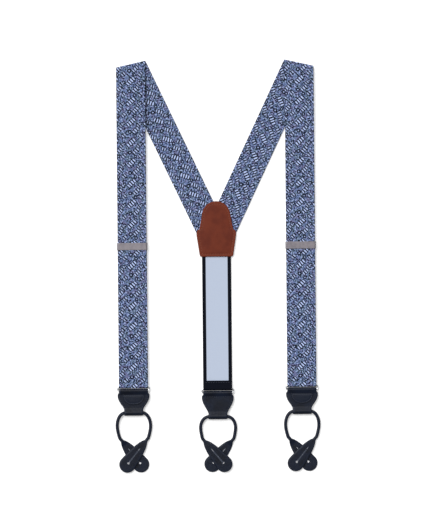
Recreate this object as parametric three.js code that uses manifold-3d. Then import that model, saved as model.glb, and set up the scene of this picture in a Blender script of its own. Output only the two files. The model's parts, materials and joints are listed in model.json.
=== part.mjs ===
// Button-on dress braces with a Y-shaped back, laid flat on a table.
//
// Each front strap is folded over at the shoulder and lies on top of the slanting back strap.
// The straps meet in a leather back patch, where the elastic back piece starts. Every lower end
// carries a wire ring, a leather crown, a rolled leather loop and two leaves with button holes.
//
// Millimetres. X runs across, Y up to the shoulders, Z up from the table.

import * as THREE from 'three';
import { mergeVertices } from 'three/addons/utils/BufferGeometryUtils.js';
import Module from 'manifold-3d';

const wasm = await Module();
wasm.setup();

// ---------------------------------------------------------------- driving dimensions

const GAP = 0.3; // air between pieces that touch
const WEB = 1.0; // thickness of the strap cloth and of the elastic
const STRAP_WIDTH = 35;
const ELASTIC_WIDTH = 35;
const STRAP_SPACING = 203; // centre line to centre line of the two front straps
const SHOULDER_Y = 242; // middle of each shoulder fold
const BACK_SLANT = 25.3; // degrees between a back strap and the Y axis

const FRONT_RING_Y = -147;
const BACK_RING_Y = -150.3;
const RING_WIRE = 2.2; // wire diameter of the rings
const RING_SIDE_PLAY = 0.5; // room beside the strap inside the ring
const RING_CORNER = 2.4;

const FRONT_SPLIT_Y = -80; // where the fixed upper run of a front strap gives way to the lower run
const TURN_LENGTH = 6; // straight cloth at each end of the turn round a ring

const PATCH_BELOW = 16; // patch foot below the point where the back straps meet
const PATCH_DOME_RISE = 34; // centre of the round top above that point
const PATCH_DOME_RADIUS = 17;
const PATCH_FLARE = 17; // degrees that each long side leans out
const PATCH_WIDE_RISE = 12; // widest corner above the meeting point
const PATCH_FOOT_WIDTH = 40;
const PATCH_CORNER = 2.5;
const PATCH_LEATHER = 1.4;
const ELASTIC_TOP_RISE = 5.5; // elastic's upper end above the meeting point
const HEM_LENGTH = 9.5; // turned-over end of the elastic
const HEM_SETTLE = 6; // run in which the hem comes down on the elastic

const ADJUSTER_Y = 24.4;
const ADJUSTER_LENGTH = 8.7;
const ADJUSTER_SHEET = 0.5; // metal thickness
const PIN_DIAMETER = 1.2;
const PIN_OFFSET = 2.0; // lever pin above the middle of the adjuster
const PIN_DROP = 1.9; // lever pin below the back face of the front strap
const LEVER_BARREL = 1.55; // outer radius of the rolled eye
const LEVER_REACH = 13;
const LEVER_SHEET = 0.8;
const LEVER_SIDE_PLAY = 0.5;
const END_BAR = 0.9; // diameter of the bar that holds the strap end
const END_BAR_OFFSET = 2.2; // bar below the middle of the adjuster
const END_TAB = 14; // turned-back strap end

const CROWN_LEATHER = 1.3;
const CROWN_TOP_WIDTH = 35;
const CROWN_WIDE = 38.4;
const CROWN_WAIST_WIDTH = 24;
const CROWN_TUNNEL_WIDTH = 22.8;
const CROWN_WAIST_RISE = 5.5; // waist above the loop cord
const TONGUE_WIDTH = 26.4;
const TONGUE_LENGTH = 12.5;
const TONGUE_TOP = 4.2; // below the ring bar
const TONGUE_LEATHER = 0.9;

const CORD = 4.0; // rolled leather diameter
const CORD_SIDES = 8;
const LEAF_LEATHER = 2.0;
const LEAF_ROOT_RADIUS = 2.2;
const LEAF_LENGTH = 36; // root to the middle of the round end
const LEAF_END_RADIUS = 9.9;
const BUTTONHOLE_RADIUS = 1.6;
const BUTTONHOLE_AT = 34.2; // from the root
const SLIT_LENGTH = 23;
const SLIT_WIDTH = 0.7;

// The front fittings and the back one differ in a few lengths:
// crownLength is from the ring bar to the loop cord, loopHalf the loop's half width at its
// widest, rootX and rootDrop the leaf roots from the middle of the tunnel, and leafAngle the
// degrees between a leaf and the Y axis.
const FRONT_FORM = { crownLength: 26.3, loopHalf: 20, rootX: 14.2, rootDrop: 34.2, leafAngle: 38.5 };
const BACK_FORM = { crownLength: 28.3, loopHalf: 21, rootX: 16.2, rootDrop: 30, leafAngle: 40.5 };

const FINISH = {
  strap: { color: 0x657190, roughness: 0.75, metalness: 0 },
  elastic: { color: 0xbcc7da, roughness: 0.8, metalness: 0 },
  patch: { color: 0x7a4030, roughness: 0.45, metalness: 0 },
  leather: { color: 0x1f232e, roughness: 0.5, metalness: 0 },
  wire: { color: 0xd4d6d8, roughness: 0.2, metalness: 1 },
  adjuster: { color: 0x8c878b, roughness: 0.4, metalness: 1 },
};

// ---------------------------------------------------------------- worked-out sizes

const radians = THREE.MathUtils.degToRad;
const turnRadius = RING_WIRE / 2 + GAP + WEB / 2; // middle of the cloth round a ring bar
const crownRadius = RING_WIRE / 2 + GAP + CROWN_LEATHER / 2; // middle of the leather round a bar
const tunnelRadius = CORD / 2 + GAP + CROWN_LEATHER / 2;
const midZ = tunnelRadius + CROWN_LEATHER / 2; // plane of rings, crowns and loops
const lowZ = midZ - turnRadius; // back straps, elastic and returning cloth
const highZ = midZ + turnRadius; // front straps
const barOffset = (turnRadius + WEB / 2 + GAP + crownRadius + CROWN_LEATHER / 2) / 2;
const foldSlope = radians(BACK_SLANT / 2);
const meetingY = SHOULDER_Y - STRAP_SPACING / 2 / Math.tan(radians(BACK_SLANT));
const patchInner = lowZ - WEB / 2 - GAP; // thickness left for the leather under the straps
const endBarRadius = END_BAR / 2 + GAP + WEB / 2; // middle of the cloth round the end bar
const endBarZ = lowZ + endBarRadius;
const cheekX = STRAP_WIDTH / 2 + GAP;

// ---------------------------------------------------------------- helpers

/** A named mesh with a material of its own. */
function piece(name, geometry, finish) {
  const mesh = new THREE.Mesh(geometry, new THREE.MeshStandardMaterial(finish));
  mesh.name = name;
  return mesh;
}

/** A flat sheet with the given outline, from z up by its thickness. */
function sheet(shape, z, thickness, curveSegments = 10) {
  const geometry = new THREE.ExtrudeGeometry(shape, {
    depth: thickness,
    bevelEnabled: false,
    curveSegments,
  });
  return geometry.translate(0, 0, z);
}

/** A flat sheet whose outline is a list of [x, y] corners. */
function plate(corners, z, thickness) {
  return sheet(new THREE.Shape(corners.map(([x, y]) => new THREE.Vector2(x, y))), z, thickness);
}

/** Extrudes a shape drawn in (y, z) across x, centred on x = 0. */
function acrossX(shape, width, curveSegments = 8) {
  const geometry = new THREE.ExtrudeGeometry(shape, {
    depth: width,
    bevelEnabled: false,
    curveSegments,
  });
  const basis = new THREE.Matrix4().makeBasis(
    new THREE.Vector3(0, 1, 0),
    new THREE.Vector3(0, 0, 1),
    new THREE.Vector3(1, 0, 0),
  );
  return geometry.applyMatrix4(basis).translate(-width / 2, 0, 0);
}

/** The outline of a strip of even thickness along a line of (y, z) points. */
function stripOutline(points, thickness) {
  const normals = points.map((point, i) => {
    const before = points[Math.max(i - 1, 0)];
    const after = points[Math.min(i + 1, points.length - 1)];
    const along = after.clone().sub(before).normalize();
    return new THREE.Vector2(-along.y, along.x);
  });
  const side = (sign) =>
    points.map((point, i) => point.clone().addScaledVector(normals[i], (sign * thickness) / 2));
  return new THREE.Shape([...side(-1), ...side(1).reverse()]);
}

/** Points on an arc in (y, z); angles in degrees. */
function arc(y, z, radius, from, to, steps = 10) {
  return Array.from({ length: steps + 1 }, (_, i) => {
    const angle = radians(from + ((to - from) * i) / steps);
    return new THREE.Vector2(y + radius * Math.cos(angle), z + radius * Math.sin(angle));
  });
}

/** A closed solid from a three.js geometry. */
function toSolid(geometry) {
  const bare = geometry.clone();
  bare.deleteAttribute('normal');
  bare.deleteAttribute('uv');
  const merged = mergeVertices(bare, 1e-4);
  const mesh = new wasm.Mesh({
    numProp: 3,
    vertProperties: new Float32Array(merged.attributes.position.array),
    triVerts: new Uint32Array(merged.index.array),
  });
  return new wasm.Manifold(mesh);
}

/** A three.js geometry from a closed solid. */
function toGeometry(solid) {
  const { vertProperties, triVerts } = solid.getMesh();
  const geometry = new THREE.BufferGeometry();
  geometry.setAttribute('position', new THREE.BufferAttribute(vertProperties, 3));
  geometry.setIndex(new THREE.BufferAttribute(triVerts, 1));
  geometry.computeVertexNormals();
  return geometry;
}

/** A closed solid through a row of four-cornered sections. */
function loft(sections) {
  const position = sections.flat().flatMap((corner) => corner.toArray());
  const index = [0, 1, 2, 0, 2, 3];
  for (let i = 0; i + 1 < sections.length; i += 1) {
    for (let side = 0; side < 4; side += 1) {
      const a = 4 * i + side;
      const b = 4 * i + ((side + 1) % 4);
      index.push(a, a + 4, b, b, a + 4, b + 4);
    }
  }
  const end = position.length / 3 - 4;
  index.push(end, end + 2, end + 1, end, end + 3, end + 2);
  const geometry = new THREE.BufferGeometry();
  geometry.setAttribute('position', new THREE.Float32BufferAttribute(position, 3));
  geometry.setIndex(index);
  return geometry;
}

// ---------------------------------------------------------------- straps and shoulder folds

/** y on the fold line at a distance x outward from the strap's centre line; offset runs along
 * the fold's normal. The outer end of the fold is the lower one. */
function foldLineY(x, offset = 0) {
  return SHOULDER_Y - x * Math.tan(foldSlope) + offset / Math.cos(foldSlope);
}

/** The half roll of cloth at the shoulder, for the strap on the given side (-1 left, 1 right). */
function shoulderFold(side) {
  const steps = 10;
  const along = new THREE.Vector3(side * Math.cos(foldSlope), -Math.sin(foldSlope), 0);
  const out = new THREE.Vector3(side * Math.sin(foldSlope), Math.cos(foldSlope), 0);
  const trim = GAP / 2 / turnRadius;
  const sections = Array.from({ length: steps + 1 }, (_, i) => {
    const angle = trim + ((Math.PI - 2 * trim) * i) / steps;
    const shift = -angle * turnRadius * Math.tan(foldSlope);
    const corner = (end, radius) =>
      new THREE.Vector3((side * STRAP_SPACING) / 2, SHOULDER_Y, midZ)
        .addScaledVector(along, (end * STRAP_WIDTH) / 2 / Math.cos(foldSlope) + shift)
        .addScaledVector(out, radius * Math.sin(angle))
        .add(new THREE.Vector3(0, 0, radius * Math.cos(angle)));
    const inner = turnRadius - WEB / 2;
    const outer = turnRadius + WEB / 2;
    return [corner(-1, inner), corner(1, inner), corner(1, outer), corner(-1, outer)];
  });
  const ordered = side > 0 ? sections : sections.map((section) => [...section].reverse());
  return loft(ordered);
}

/** The fixed run of a front strap, from the shoulder fold down to the split. */
function frontUpper(side) {
  const x = (side * STRAP_SPACING) / 2;
  const half = STRAP_WIDTH / 2;
  const top = (outward) => foldLineY(outward, -GAP / 2);
  return plate(
    [
      [x - half, FRONT_SPLIT_Y],
      [x + half, FRONT_SPLIT_Y],
      [x + half, top(side * half)],
      [x - half, top(-side * half)],
    ],
    highZ - WEB / 2,
    WEB,
  );
}

/** A back strap, from the shoulder fold down into the patch, cut off where the two meet. */
function backStrap(side) {
  const slant = radians(BACK_SLANT);
  const down = new THREE.Vector2(-side * Math.sin(slant), -Math.cos(slant));
  const across = new THREE.Vector2(side * Math.cos(slant), -Math.sin(slant));
  const roll = Math.PI * turnRadius * Math.tan(foldSlope);
  const foldAlong = new THREE.Vector2(side * Math.cos(foldSlope), -Math.sin(foldSlope));
  const middle = new THREE.Vector2((side * STRAP_SPACING) / 2, SHOULDER_Y)
    .addScaledVector(foldAlong, -roll)
    .addScaledVector(new THREE.Vector2(side * Math.sin(foldSlope), Math.cos(foldSlope)), -GAP / 2);
  const reach = STRAP_WIDTH / 2 / Math.cos(foldSlope);
  const upperOuter = middle.clone().addScaledVector(foldAlong, reach);
  const upperInner = middle.clone().addScaledVector(foldAlong, -reach);
  const length = SHOULDER_Y - meetingY + 2 * STRAP_WIDTH;
  const corners = [
    upperOuter,
    upperInner,
    upperInner.clone().addScaledVector(down, length),
    upperInner.clone().addScaledVector(down, length).addScaledVector(across, STRAP_WIDTH),
    upperOuter.clone().addScaledVector(down, STRAP_WIDTH),
  ].map((corner) => corner.toArray());
  const ordered = side < 0 ? corners : corners.reverse();
  const strap = toSolid(plate(ordered, lowZ - WEB / 2, WEB));
  const farX = side * STRAP_SPACING;
  const endY = meetingY + ELASTIC_TOP_RISE + GAP;
  const keep = plate(
    [
      [(side * GAP) / 2, endY],
      [farX, endY],
      [farX, SHOULDER_Y + STRAP_WIDTH],
      [(side * GAP) / 2, SHOULDER_Y + STRAP_WIDTH],
    ],
    lowZ - WEB,
    2 * WEB,
  );
  return toGeometry(strap.intersect(toSolid(keep)));
}

/** The turn of cloth round a ring's upper bar; y = 0 is the bar. */
function ringTurn(width) {
  const points = [
    new THREE.Vector2(TURN_LENGTH, turnRadius),
    ...arc(0, 0, turnRadius, 90, 270),
    new THREE.Vector2(TURN_LENGTH, -turnRadius),
  ];
  return acrossX(stripOutline(points, WEB), width);
}

/** The strap end: round the adjuster's bar at y = 0 and back close under the front strap. */
function endLoop() {
  const tabZ = highZ - WEB - GAP - endBarZ;
  const points = [
    new THREE.Vector2(-END_TAB, tabZ),
    ...arc(0, 0, endBarRadius, 90, -90),
    new THREE.Vector2(-TURN_LENGTH, -endBarRadius),
  ];
  return acrossX(stripOutline(points, WEB), STRAP_WIDTH);
}

/** The elastic's lower end: round the ring bar at y = 0 and turned up over its face. */
function elasticEnd() {
  const hemZ = -turnRadius + WEB + GAP;
  const points = [
    new THREE.Vector2(TURN_LENGTH, -turnRadius),
    ...arc(0, 0, turnRadius, 270, 90),
    new THREE.Vector2(HEM_SETTLE / 2, (turnRadius + hemZ) / 2),
    new THREE.Vector2(HEM_SETTLE, hemZ),
    new THREE.Vector2(HEM_LENGTH, hemZ),
  ];
  return acrossX(stripOutline(points, WEB), ELASTIC_WIDTH);
}

/** A straight flat run of strap or elastic between two heights of y. */
function run(x, width, lowY, highY, z) {
  const corners = [
    [x - width / 2, lowY],
    [x + width / 2, lowY],
    [x + width / 2, highY],
    [x - width / 2, highY],
  ];
  return plate(corners, z - WEB / 2, WEB);
}

// ---------------------------------------------------------------- back patch

/** Shield outline: round top, sides leaning out to the widest corner, then in to the foot. */
function patchOutline() {
  const flare = radians(PATCH_FLARE);
  const domeY = meetingY + PATCH_DOME_RISE;
  const wideY = meetingY + PATCH_WIDE_RISE;
  const footY = meetingY - PATCH_BELOW;
  const tangentX = PATCH_DOME_RADIUS * Math.cos(flare);
  const tangentY = domeY + PATCH_DOME_RADIUS * Math.sin(flare);
  const wideX = tangentX + (tangentY - wideY) * Math.tan(flare);
  const footX = PATCH_FOOT_WIDTH / 2;
  const lean = (wideX - footX) / (wideY - footY);
  const shape = new THREE.Shape();
  shape.moveTo(-footX + PATCH_CORNER, footY);
  shape.lineTo(footX - PATCH_CORNER, footY);
  shape.quadraticCurveTo(footX, footY, footX + PATCH_CORNER * lean, footY + PATCH_CORNER);
  shape.lineTo(wideX - PATCH_CORNER * lean, wideY - PATCH_CORNER);
  shape.quadraticCurveTo(
    wideX, wideY, wideX - PATCH_CORNER * Math.tan(flare), wideY + PATCH_CORNER,
  );
  shape.absarc(0, domeY, PATCH_DOME_RADIUS, flare, Math.PI - flare, false);
  shape.lineTo(-wideX + PATCH_CORNER * Math.tan(flare), wideY + PATCH_CORNER);
  shape.quadraticCurveTo(
    -wideX, wideY, -wideX + PATCH_CORNER * lean, wideY - PATCH_CORNER,
  );
  shape.lineTo(-footX - PATCH_CORNER * lean, footY + PATCH_CORNER);
  shape.quadraticCurveTo(-footX, footY, -footX + PATCH_CORNER, footY);
  return shape;
}

// ---------------------------------------------------------------- adjuster

/** The channel over the front strap, its cheeks drilled for the lever pin. */
function adjusterFrame() {
  const outer = cheekX + ADJUSTER_SHEET;
  const top = highZ + WEB / 2 + GAP + ADJUSTER_SHEET;
  const low = lowZ - WEB / 2;
  const channel = new THREE.Shape(
    [
      [-outer, low],
      [-cheekX, low],
      [-cheekX, top - ADJUSTER_SHEET],
      [cheekX, top - ADJUSTER_SHEET],
      [cheekX, low],
      [outer, low],
      [outer, top],
      [-outer, top],
    ].map(([x, z]) => new THREE.Vector2(x, z)),
  );
  const body = new THREE.ExtrudeGeometry(channel, { depth: ADJUSTER_LENGTH, bevelEnabled: false });
  body.rotateX(Math.PI / 2).translate(0, ADJUSTER_LENGTH / 2, 0);
  const drill = new THREE.CylinderGeometry(
    PIN_DIAMETER / 2 + GAP, PIN_DIAMETER / 2 + GAP, 4 * outer, 16,
  );
  drill.rotateZ(Math.PI / 2).translate(0, PIN_OFFSET, pinZ());
  return toGeometry(toSolid(body).subtract(toSolid(drill)));
}

function pinZ() {
  return highZ - WEB / 2 - PIN_DROP;
}

/** The cam lever: a rolled eye round the pin and a flat finger plate; the pin is at y = z = 0. */
function lever() {
  const top = PIN_DROP - GAP;
  const under = top - LEVER_SHEET;
  const shape = new THREE.Shape();
  shape.absarc(0, 0, LEVER_BARREL, Math.PI / 2, radians(-30), false);
  shape.lineTo(LEVER_BARREL + 0.4, under);
  shape.lineTo(LEVER_REACH, under);
  shape.lineTo(LEVER_REACH, top);
  shape.lineTo(0, top);
  const eye = new THREE.Path();
  eye.absarc(0, 0, PIN_DIAMETER / 2 + GAP, 0, 2 * Math.PI, true);
  shape.holes.push(eye);
  return acrossX(shape, 2 * (cheekX - LEVER_SIDE_PLAY), 12);
}

/** A straight round bar across x. */
function bar(diameter, length) {
  return new THREE.CylinderGeometry(diameter / 2, diameter / 2, length, 16).rotateZ(Math.PI / 2);
}

/** Everything that sits at an adjuster, in a group at the adjuster's middle. */
function adjuster(side, name) {
  const group = new THREE.Group();
  group.position.set((side * STRAP_SPACING) / 2, ADJUSTER_Y, 0);
  group.add(piece(`${name}_adjuster_frame`, adjusterFrame(), FINISH.adjuster));

  const leverMesh = piece(`${name}_adjuster_lever`, lever(), FINISH.adjuster);
  leverMesh.position.set(0, PIN_OFFSET, pinZ());
  group.add(leverMesh);

  const pinLength = 2 * (cheekX + ADJUSTER_SHEET);
  const pin = piece(`${name}_lever_pin`, bar(PIN_DIAMETER, pinLength), FINISH.adjuster);
  pin.position.copy(leverMesh.position);
  group.add(pin);

  const endBarLength = 2 * (cheekX - GAP);
  const endBar = piece(`${name}_strap_end_bar`, bar(END_BAR, endBarLength), FINISH.adjuster);
  endBar.position.set(0, -END_BAR_OFFSET, endBarZ);
  group.add(endBar);

  const loop = piece(`${name}_strap_end_loop`, endLoop(), FINISH.strap);
  loop.position.copy(endBar.position);
  group.add(loop);
  return group;
}

// ---------------------------------------------------------------- ring, crown, loop and leaves

/** Closed wire loop with round corners; the origin is its middle. */
function ring(strapWidth) {
  const halfX = strapWidth / 2 + RING_SIDE_PLAY + RING_WIRE / 2;
  const path = new THREE.CurvePath();
  const corner = (x, y) => new THREE.Vector3(x, y, 0);
  const signs = [[1, 1], [-1, 1], [-1, -1], [1, -1]];
  signs.forEach(([sx, sy], i) => {
    const [nx, ny] = signs[(i + 1) % 4];
    const turn = corner(sx * halfX, sy * barOffset);
    const next = corner(nx * halfX, ny * barOffset);
    const before = signs[(i + 3) % 4];
    const previous = corner(before[0] * halfX, before[1] * barOffset);
    const towards = (target) =>
      turn.clone().addScaledVector(target.clone().sub(turn).normalize(), RING_CORNER);
    const leave = next.clone().addScaledVector(turn.clone().sub(next).normalize(), RING_CORNER);
    path.add(new THREE.QuadraticBezierCurve3(towards(previous), turn, towards(next)));
    path.add(new THREE.LineCurve3(towards(next), leave));
  });
  return new THREE.TubeGeometry(path, 48, RING_WIRE / 2, 6, true);
}

/** Crown outline, seen from above; y = 0 is the ring bar. */
function crownOutline(length) {
  const top = crownRadius + CROWN_LEATHER;
  const waistY = -length + CROWN_WAIST_RISE;
  const footY = -length - tunnelRadius - CROWN_LEATHER;
  const wideY = -RING_WIRE - GAP;
  const half = [
    [CROWN_TOP_WIDTH / 2, top],
    [CROWN_TOP_WIDTH / 2, wideY],
    [CROWN_WIDE / 2, wideY - 1.5],
    [CROWN_WIDE / 2, wideY - 4.5],
  ];
  const shape = new THREE.Shape(half.map(([x, y]) => new THREE.Vector2(x, y)));
  shape.bezierCurveTo(
    CROWN_WIDE / 2 - 1, wideY - 11, CROWN_WAIST_WIDTH / 2 + 1.5, waistY + 3.5,
    CROWN_WAIST_WIDTH / 2, waistY,
  );
  shape.lineTo(CROWN_TUNNEL_WIDTH / 2, waistY - 1.5);
  shape.lineTo(CROWN_TUNNEL_WIDTH / 2, footY);
  shape.lineTo(-CROWN_TUNNEL_WIDTH / 2, footY);
  shape.lineTo(-CROWN_TUNNEL_WIDTH / 2, waistY - 1.5);
  shape.lineTo(-CROWN_WAIST_WIDTH / 2, waistY);
  shape.bezierCurveTo(
    -CROWN_WAIST_WIDTH / 2 - 1.5, waistY + 3.5, -CROWN_WIDE / 2 + 1, wideY - 11,
    -CROWN_WIDE / 2, wideY - 4.5,
  );
  half.slice(0, 3).reverse().forEach(([x, y]) => shape.lineTo(-x, y));
  return shape;
}

/** One half of the crown's leather: over the ring bar, pinched flat, over the loop cord. */
function crownHalf(face, length) {
  const flatZ = GAP / 2 + CROWN_LEATHER / 2;
  const trim = (radius) => THREE.MathUtils.radToDeg(Math.asin(GAP / 2 / radius));
  const barTrim = trim(crownRadius);
  const tunnelTrim = trim(tunnelRadius);
  const points = [
    ...arc(0, 0, crownRadius, barTrim, 105, 6),
    new THREE.Vector2(-crownRadius - 1.6, flatZ + 0.15),
    new THREE.Vector2(-crownRadius - 3, flatZ),
    new THREE.Vector2(-length + tunnelRadius + 3.4, flatZ),
    new THREE.Vector2(-length + tunnelRadius + 1.8, flatZ + 0.3),
    ...arc(-length, 0, tunnelRadius, 70, 180 - tunnelTrim, 7),
  ];
  const strip = toSolid(acrossX(stripOutline(points, CROWN_LEATHER), 2 * CROWN_WIDE));
  const cutter = toSolid(sheet(crownOutline(length), -2 * midZ, 4 * midZ, 6));
  const geometry = toGeometry(strip.intersect(cutter));
  return face > 0 ? geometry : geometry.rotateY(Math.PI);
}

/** The round-ended tongue stitched on the crown's outer face. */
function crownTongue(face) {
  const half = TONGUE_WIDTH / 2;
  const shape = new THREE.Shape();
  shape.moveTo(-half, -TONGUE_TOP);
  shape.bezierCurveTo(
    -half + 1, -TONGUE_TOP - TONGUE_LENGTH * 0.9, -half / 2, -TONGUE_TOP - TONGUE_LENGTH,
    0, -TONGUE_TOP - TONGUE_LENGTH,
  );
  shape.bezierCurveTo(
    half / 2, -TONGUE_TOP - TONGUE_LENGTH, half - 1, -TONGUE_TOP - TONGUE_LENGTH * 0.9,
    half, -TONGUE_TOP,
  );
  const geometry = sheet(shape, CROWN_LEATHER + 1.5 * GAP, TONGUE_LEATHER, 8);
  return face > 0 ? geometry : geometry.rotateY(Math.PI);
}

/** The rolled leather loop: through the tunnel, out round both sides and down to the leaves.
 * The points are one half, from the middle of the tunnel; z is counted from the tunnel. */
function loopCord({ loopHalf, rootX, rootDrop, leafAngle }) {
  const drop = midZ - LEAF_LEATHER - GAP / 2;
  const angle = radians(leafAngle);
  const stop = LEAF_ROOT_RADIUS + GAP;
  const endX = rootX + stop * Math.sin(angle);
  const endY = -rootDrop + stop * Math.cos(angle);
  const half = [
    [5, 0, 0],
    [CROWN_TUNNEL_WIDTH / 2, -0.1, 0],
    [0.79 * loopHalf, -0.08 * rootDrop, -0.1 * drop],
    [0.935 * loopHalf, -0.22 * rootDrop, -0.25 * drop],
    [loopHalf, -0.4 * rootDrop, -0.45 * drop],
    [0.985 * loopHalf, -0.6 * rootDrop, -0.7 * drop],
    [0.4 * loopHalf + 0.6 * endX, 0.5 * endY - 0.4 * rootDrop, -0.9 * drop],
    [endX, endY, -drop],
  ];
  const right = half.map(([x, y, z]) => new THREE.Vector3(x, y, z));
  const left = half.map(([x, y, z]) => new THREE.Vector3(-x, y, z)).reverse();
  const route = new THREE.CatmullRomCurve3([...left, ...right], false, 'centripetal');
  const section = new THREE.Shape(
    Array.from({ length: CORD_SIDES }, (_, i) => {
      const turn = (2 * Math.PI * i) / CORD_SIDES;
      return new THREE.Vector2((CORD / 2) * Math.cos(turn), (CORD / 2) * Math.sin(turn));
    }),
  );
  return new THREE.ExtrudeGeometry(section, { steps: 36, extrudePath: route });
}

/** A leaf lying along +x from its root at the origin, with its keyhole button hole. */
function leaf() {
  const shape = new THREE.Shape();
  const shoulder = radians(97);
  const lobe = (sign) => [
    LEAF_LENGTH + LEAF_END_RADIUS * Math.cos(shoulder),
    sign * LEAF_END_RADIUS * Math.sin(shoulder),
  ];
  const neck = [LEAF_LENGTH * 0.15, LEAF_END_RADIUS * 0.68];
  const belly = [LEAF_LENGTH * 0.6, LEAF_END_RADIUS * 0.86];
  const rootAngle = radians(100);
  shape.absarc(0, 0, LEAF_ROOT_RADIUS, rootAngle, -rootAngle + 2 * Math.PI, false);
  shape.bezierCurveTo(neck[0], -neck[1], belly[0], -belly[1], ...lobe(-1));
  shape.absarc(LEAF_LENGTH, 0, LEAF_END_RADIUS, -shoulder, shoulder, false);
  const rootX = LEAF_ROOT_RADIUS * Math.cos(rootAngle);
  const rootY = LEAF_ROOT_RADIUS * Math.sin(rootAngle);
  shape.bezierCurveTo(belly[0], belly[1], neck[0], neck[1], rootX, rootY);
  const keyhole = new THREE.Path();
  const mouth = Math.asin(SLIT_WIDTH / 2 / BUTTONHOLE_RADIUS);
  keyhole.absarc(BUTTONHOLE_AT, 0, BUTTONHOLE_RADIUS, Math.PI - mouth, -Math.PI + mouth, true);
  keyhole.lineTo(BUTTONHOLE_AT - SLIT_LENGTH, -SLIT_WIDTH / 2);
  keyhole.lineTo(BUTTONHOLE_AT - SLIT_LENGTH, SLIT_WIDTH / 2);
  shape.holes.push(keyhole);
  return sheet(shape, 0, LEAF_LEATHER, 7);
}

/** One button fitting. The ring's middle is at (x, y); face is 1 with the tongue on top, and
 * upperRoot is the side, -1 left or 1 right, where the upper leaf starts. */
function fitting(name, x, y, width, face, upperRoot, form) {
  const group = new THREE.Group();
  group.position.set(x, y, midZ);
  group.add(piece(`${name}_ring`, ring(width), FINISH.wire));

  const crown = new THREE.Group();
  crown.position.y = -barOffset;
  crown.add(piece(`${name}_crown_outer`, crownHalf(face, form.crownLength), FINISH.leather));
  crown.add(piece(`${name}_crown_inner`, crownHalf(-face, form.crownLength), FINISH.leather));
  crown.add(piece(`${name}_crown_tongue`, crownTongue(face), FINISH.leather));
  group.add(crown);

  const loop = new THREE.Group();
  loop.position.y = -barOffset - form.crownLength;
  loop.add(piece(`${name}_loop_cord`, loopCord(form), FINISH.leather));
  for (const level of [1, -1]) {
    const rootSide = level * upperRoot;
    const leafName = level > 0 ? 'upper_leaf' : 'lower_leaf';
    const mesh = piece(`${name}_${leafName}`, leaf(), FINISH.leather);
    const z = level > 0 ? LEAF_LEATHER + GAP : 0;
    mesh.position.set(rootSide * form.rootX, -form.rootDrop, z - midZ);
    mesh.rotation.z = -Math.PI / 2 - rootSide * radians(form.leafAngle);
    loop.add(mesh);
  }
  group.add(loop);
  return group;
}

// ---------------------------------------------------------------- assembly

/** One side of the braces: shoulder fold, both straps, adjuster and front fitting. */
function side(sign, name) {
  const group = new THREE.Group();
  const x = (sign * STRAP_SPACING) / 2;
  const barY = FRONT_RING_Y + barOffset;
  const returnTop = ADJUSTER_Y - END_BAR_OFFSET - TURN_LENGTH - GAP;
  group.add(piece(`${name}_back_strap`, backStrap(sign), FINISH.strap));
  group.add(piece(`${name}_shoulder_fold`, shoulderFold(sign), FINISH.strap));
  group.add(piece(`${name}_front_strap`, frontUpper(sign), FINISH.strap));
  const lowerRun = run(x, STRAP_WIDTH, barY + TURN_LENGTH + GAP, FRONT_SPLIT_Y - GAP, highZ);
  group.add(piece(`${name}_front_strap_lower`, lowerRun, FINISH.strap));
  const turn = piece(`${name}_ring_turn`, ringTurn(STRAP_WIDTH), FINISH.strap);
  turn.position.set(x, barY, midZ);
  group.add(turn);
  const returnRun = run(x, STRAP_WIDTH, barY + TURN_LENGTH + GAP, returnTop, lowZ);
  group.add(piece(`${name}_strap_return`, returnRun, FINISH.strap));
  group.add(adjuster(sign, name));
  group.add(fitting(name, x, FRONT_RING_Y, STRAP_WIDTH, 1, 1, FRONT_FORM));
  return group;
}

/** The patch, the elastic and the back fitting. */
function back() {
  const group = new THREE.Group();
  const barY = BACK_RING_Y + barOffset;
  const outerZ = lowZ + WEB / 2 + GAP;
  const elasticTop = meetingY + ELASTIC_TOP_RISE;
  group.add(piece('patch_outer', sheet(patchOutline(), outerZ, PATCH_LEATHER, 9), FINISH.patch));
  group.add(piece('patch_inner', sheet(patchOutline(), 0, patchInner, 9), FINISH.patch));
  const elastic = run(0, ELASTIC_WIDTH, barY + TURN_LENGTH + GAP, elasticTop, lowZ);
  group.add(piece('elastic', elastic, FINISH.elastic));
  const end = piece('elastic_end', elasticEnd(), FINISH.elastic);
  end.position.set(0, barY, midZ);
  group.add(end);
  group.add(fitting('back', 0, BACK_RING_Y, ELASTIC_WIDTH, -1, -1, BACK_FORM));
  return group;
}

const braces = new THREE.Group();
braces.add(side(-1, 'left'), side(1, 'right'), back());

// The origin is on the table, under the middle of the laid-out braces.
braces.updateMatrixWorld(true);
const extent = new THREE.Box3().setFromObject(braces, true);
const middle = extent.getCenter(new THREE.Vector3());
braces.position.set(-middle.x, -middle.y, -extent.min.z);

export default braces;
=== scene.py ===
"""Button-on dress braces with a Y-shaped back, laid flat on a pale table.

Each front strap is folded over at the shoulder, runs through an adjuster, turns round a wire
ring and comes back to the adjuster. The back straps meet under a leather patch, from which the
elastic runs down to the back ring. Lengths are in metres unless a name or comment says otherwise.
"""

import json
import logging
import math
from bisect import bisect_right
from dataclasses import dataclass, field
from enum import Enum
from functools import reduce
from typing import Any, Callable, Sequence

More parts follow.
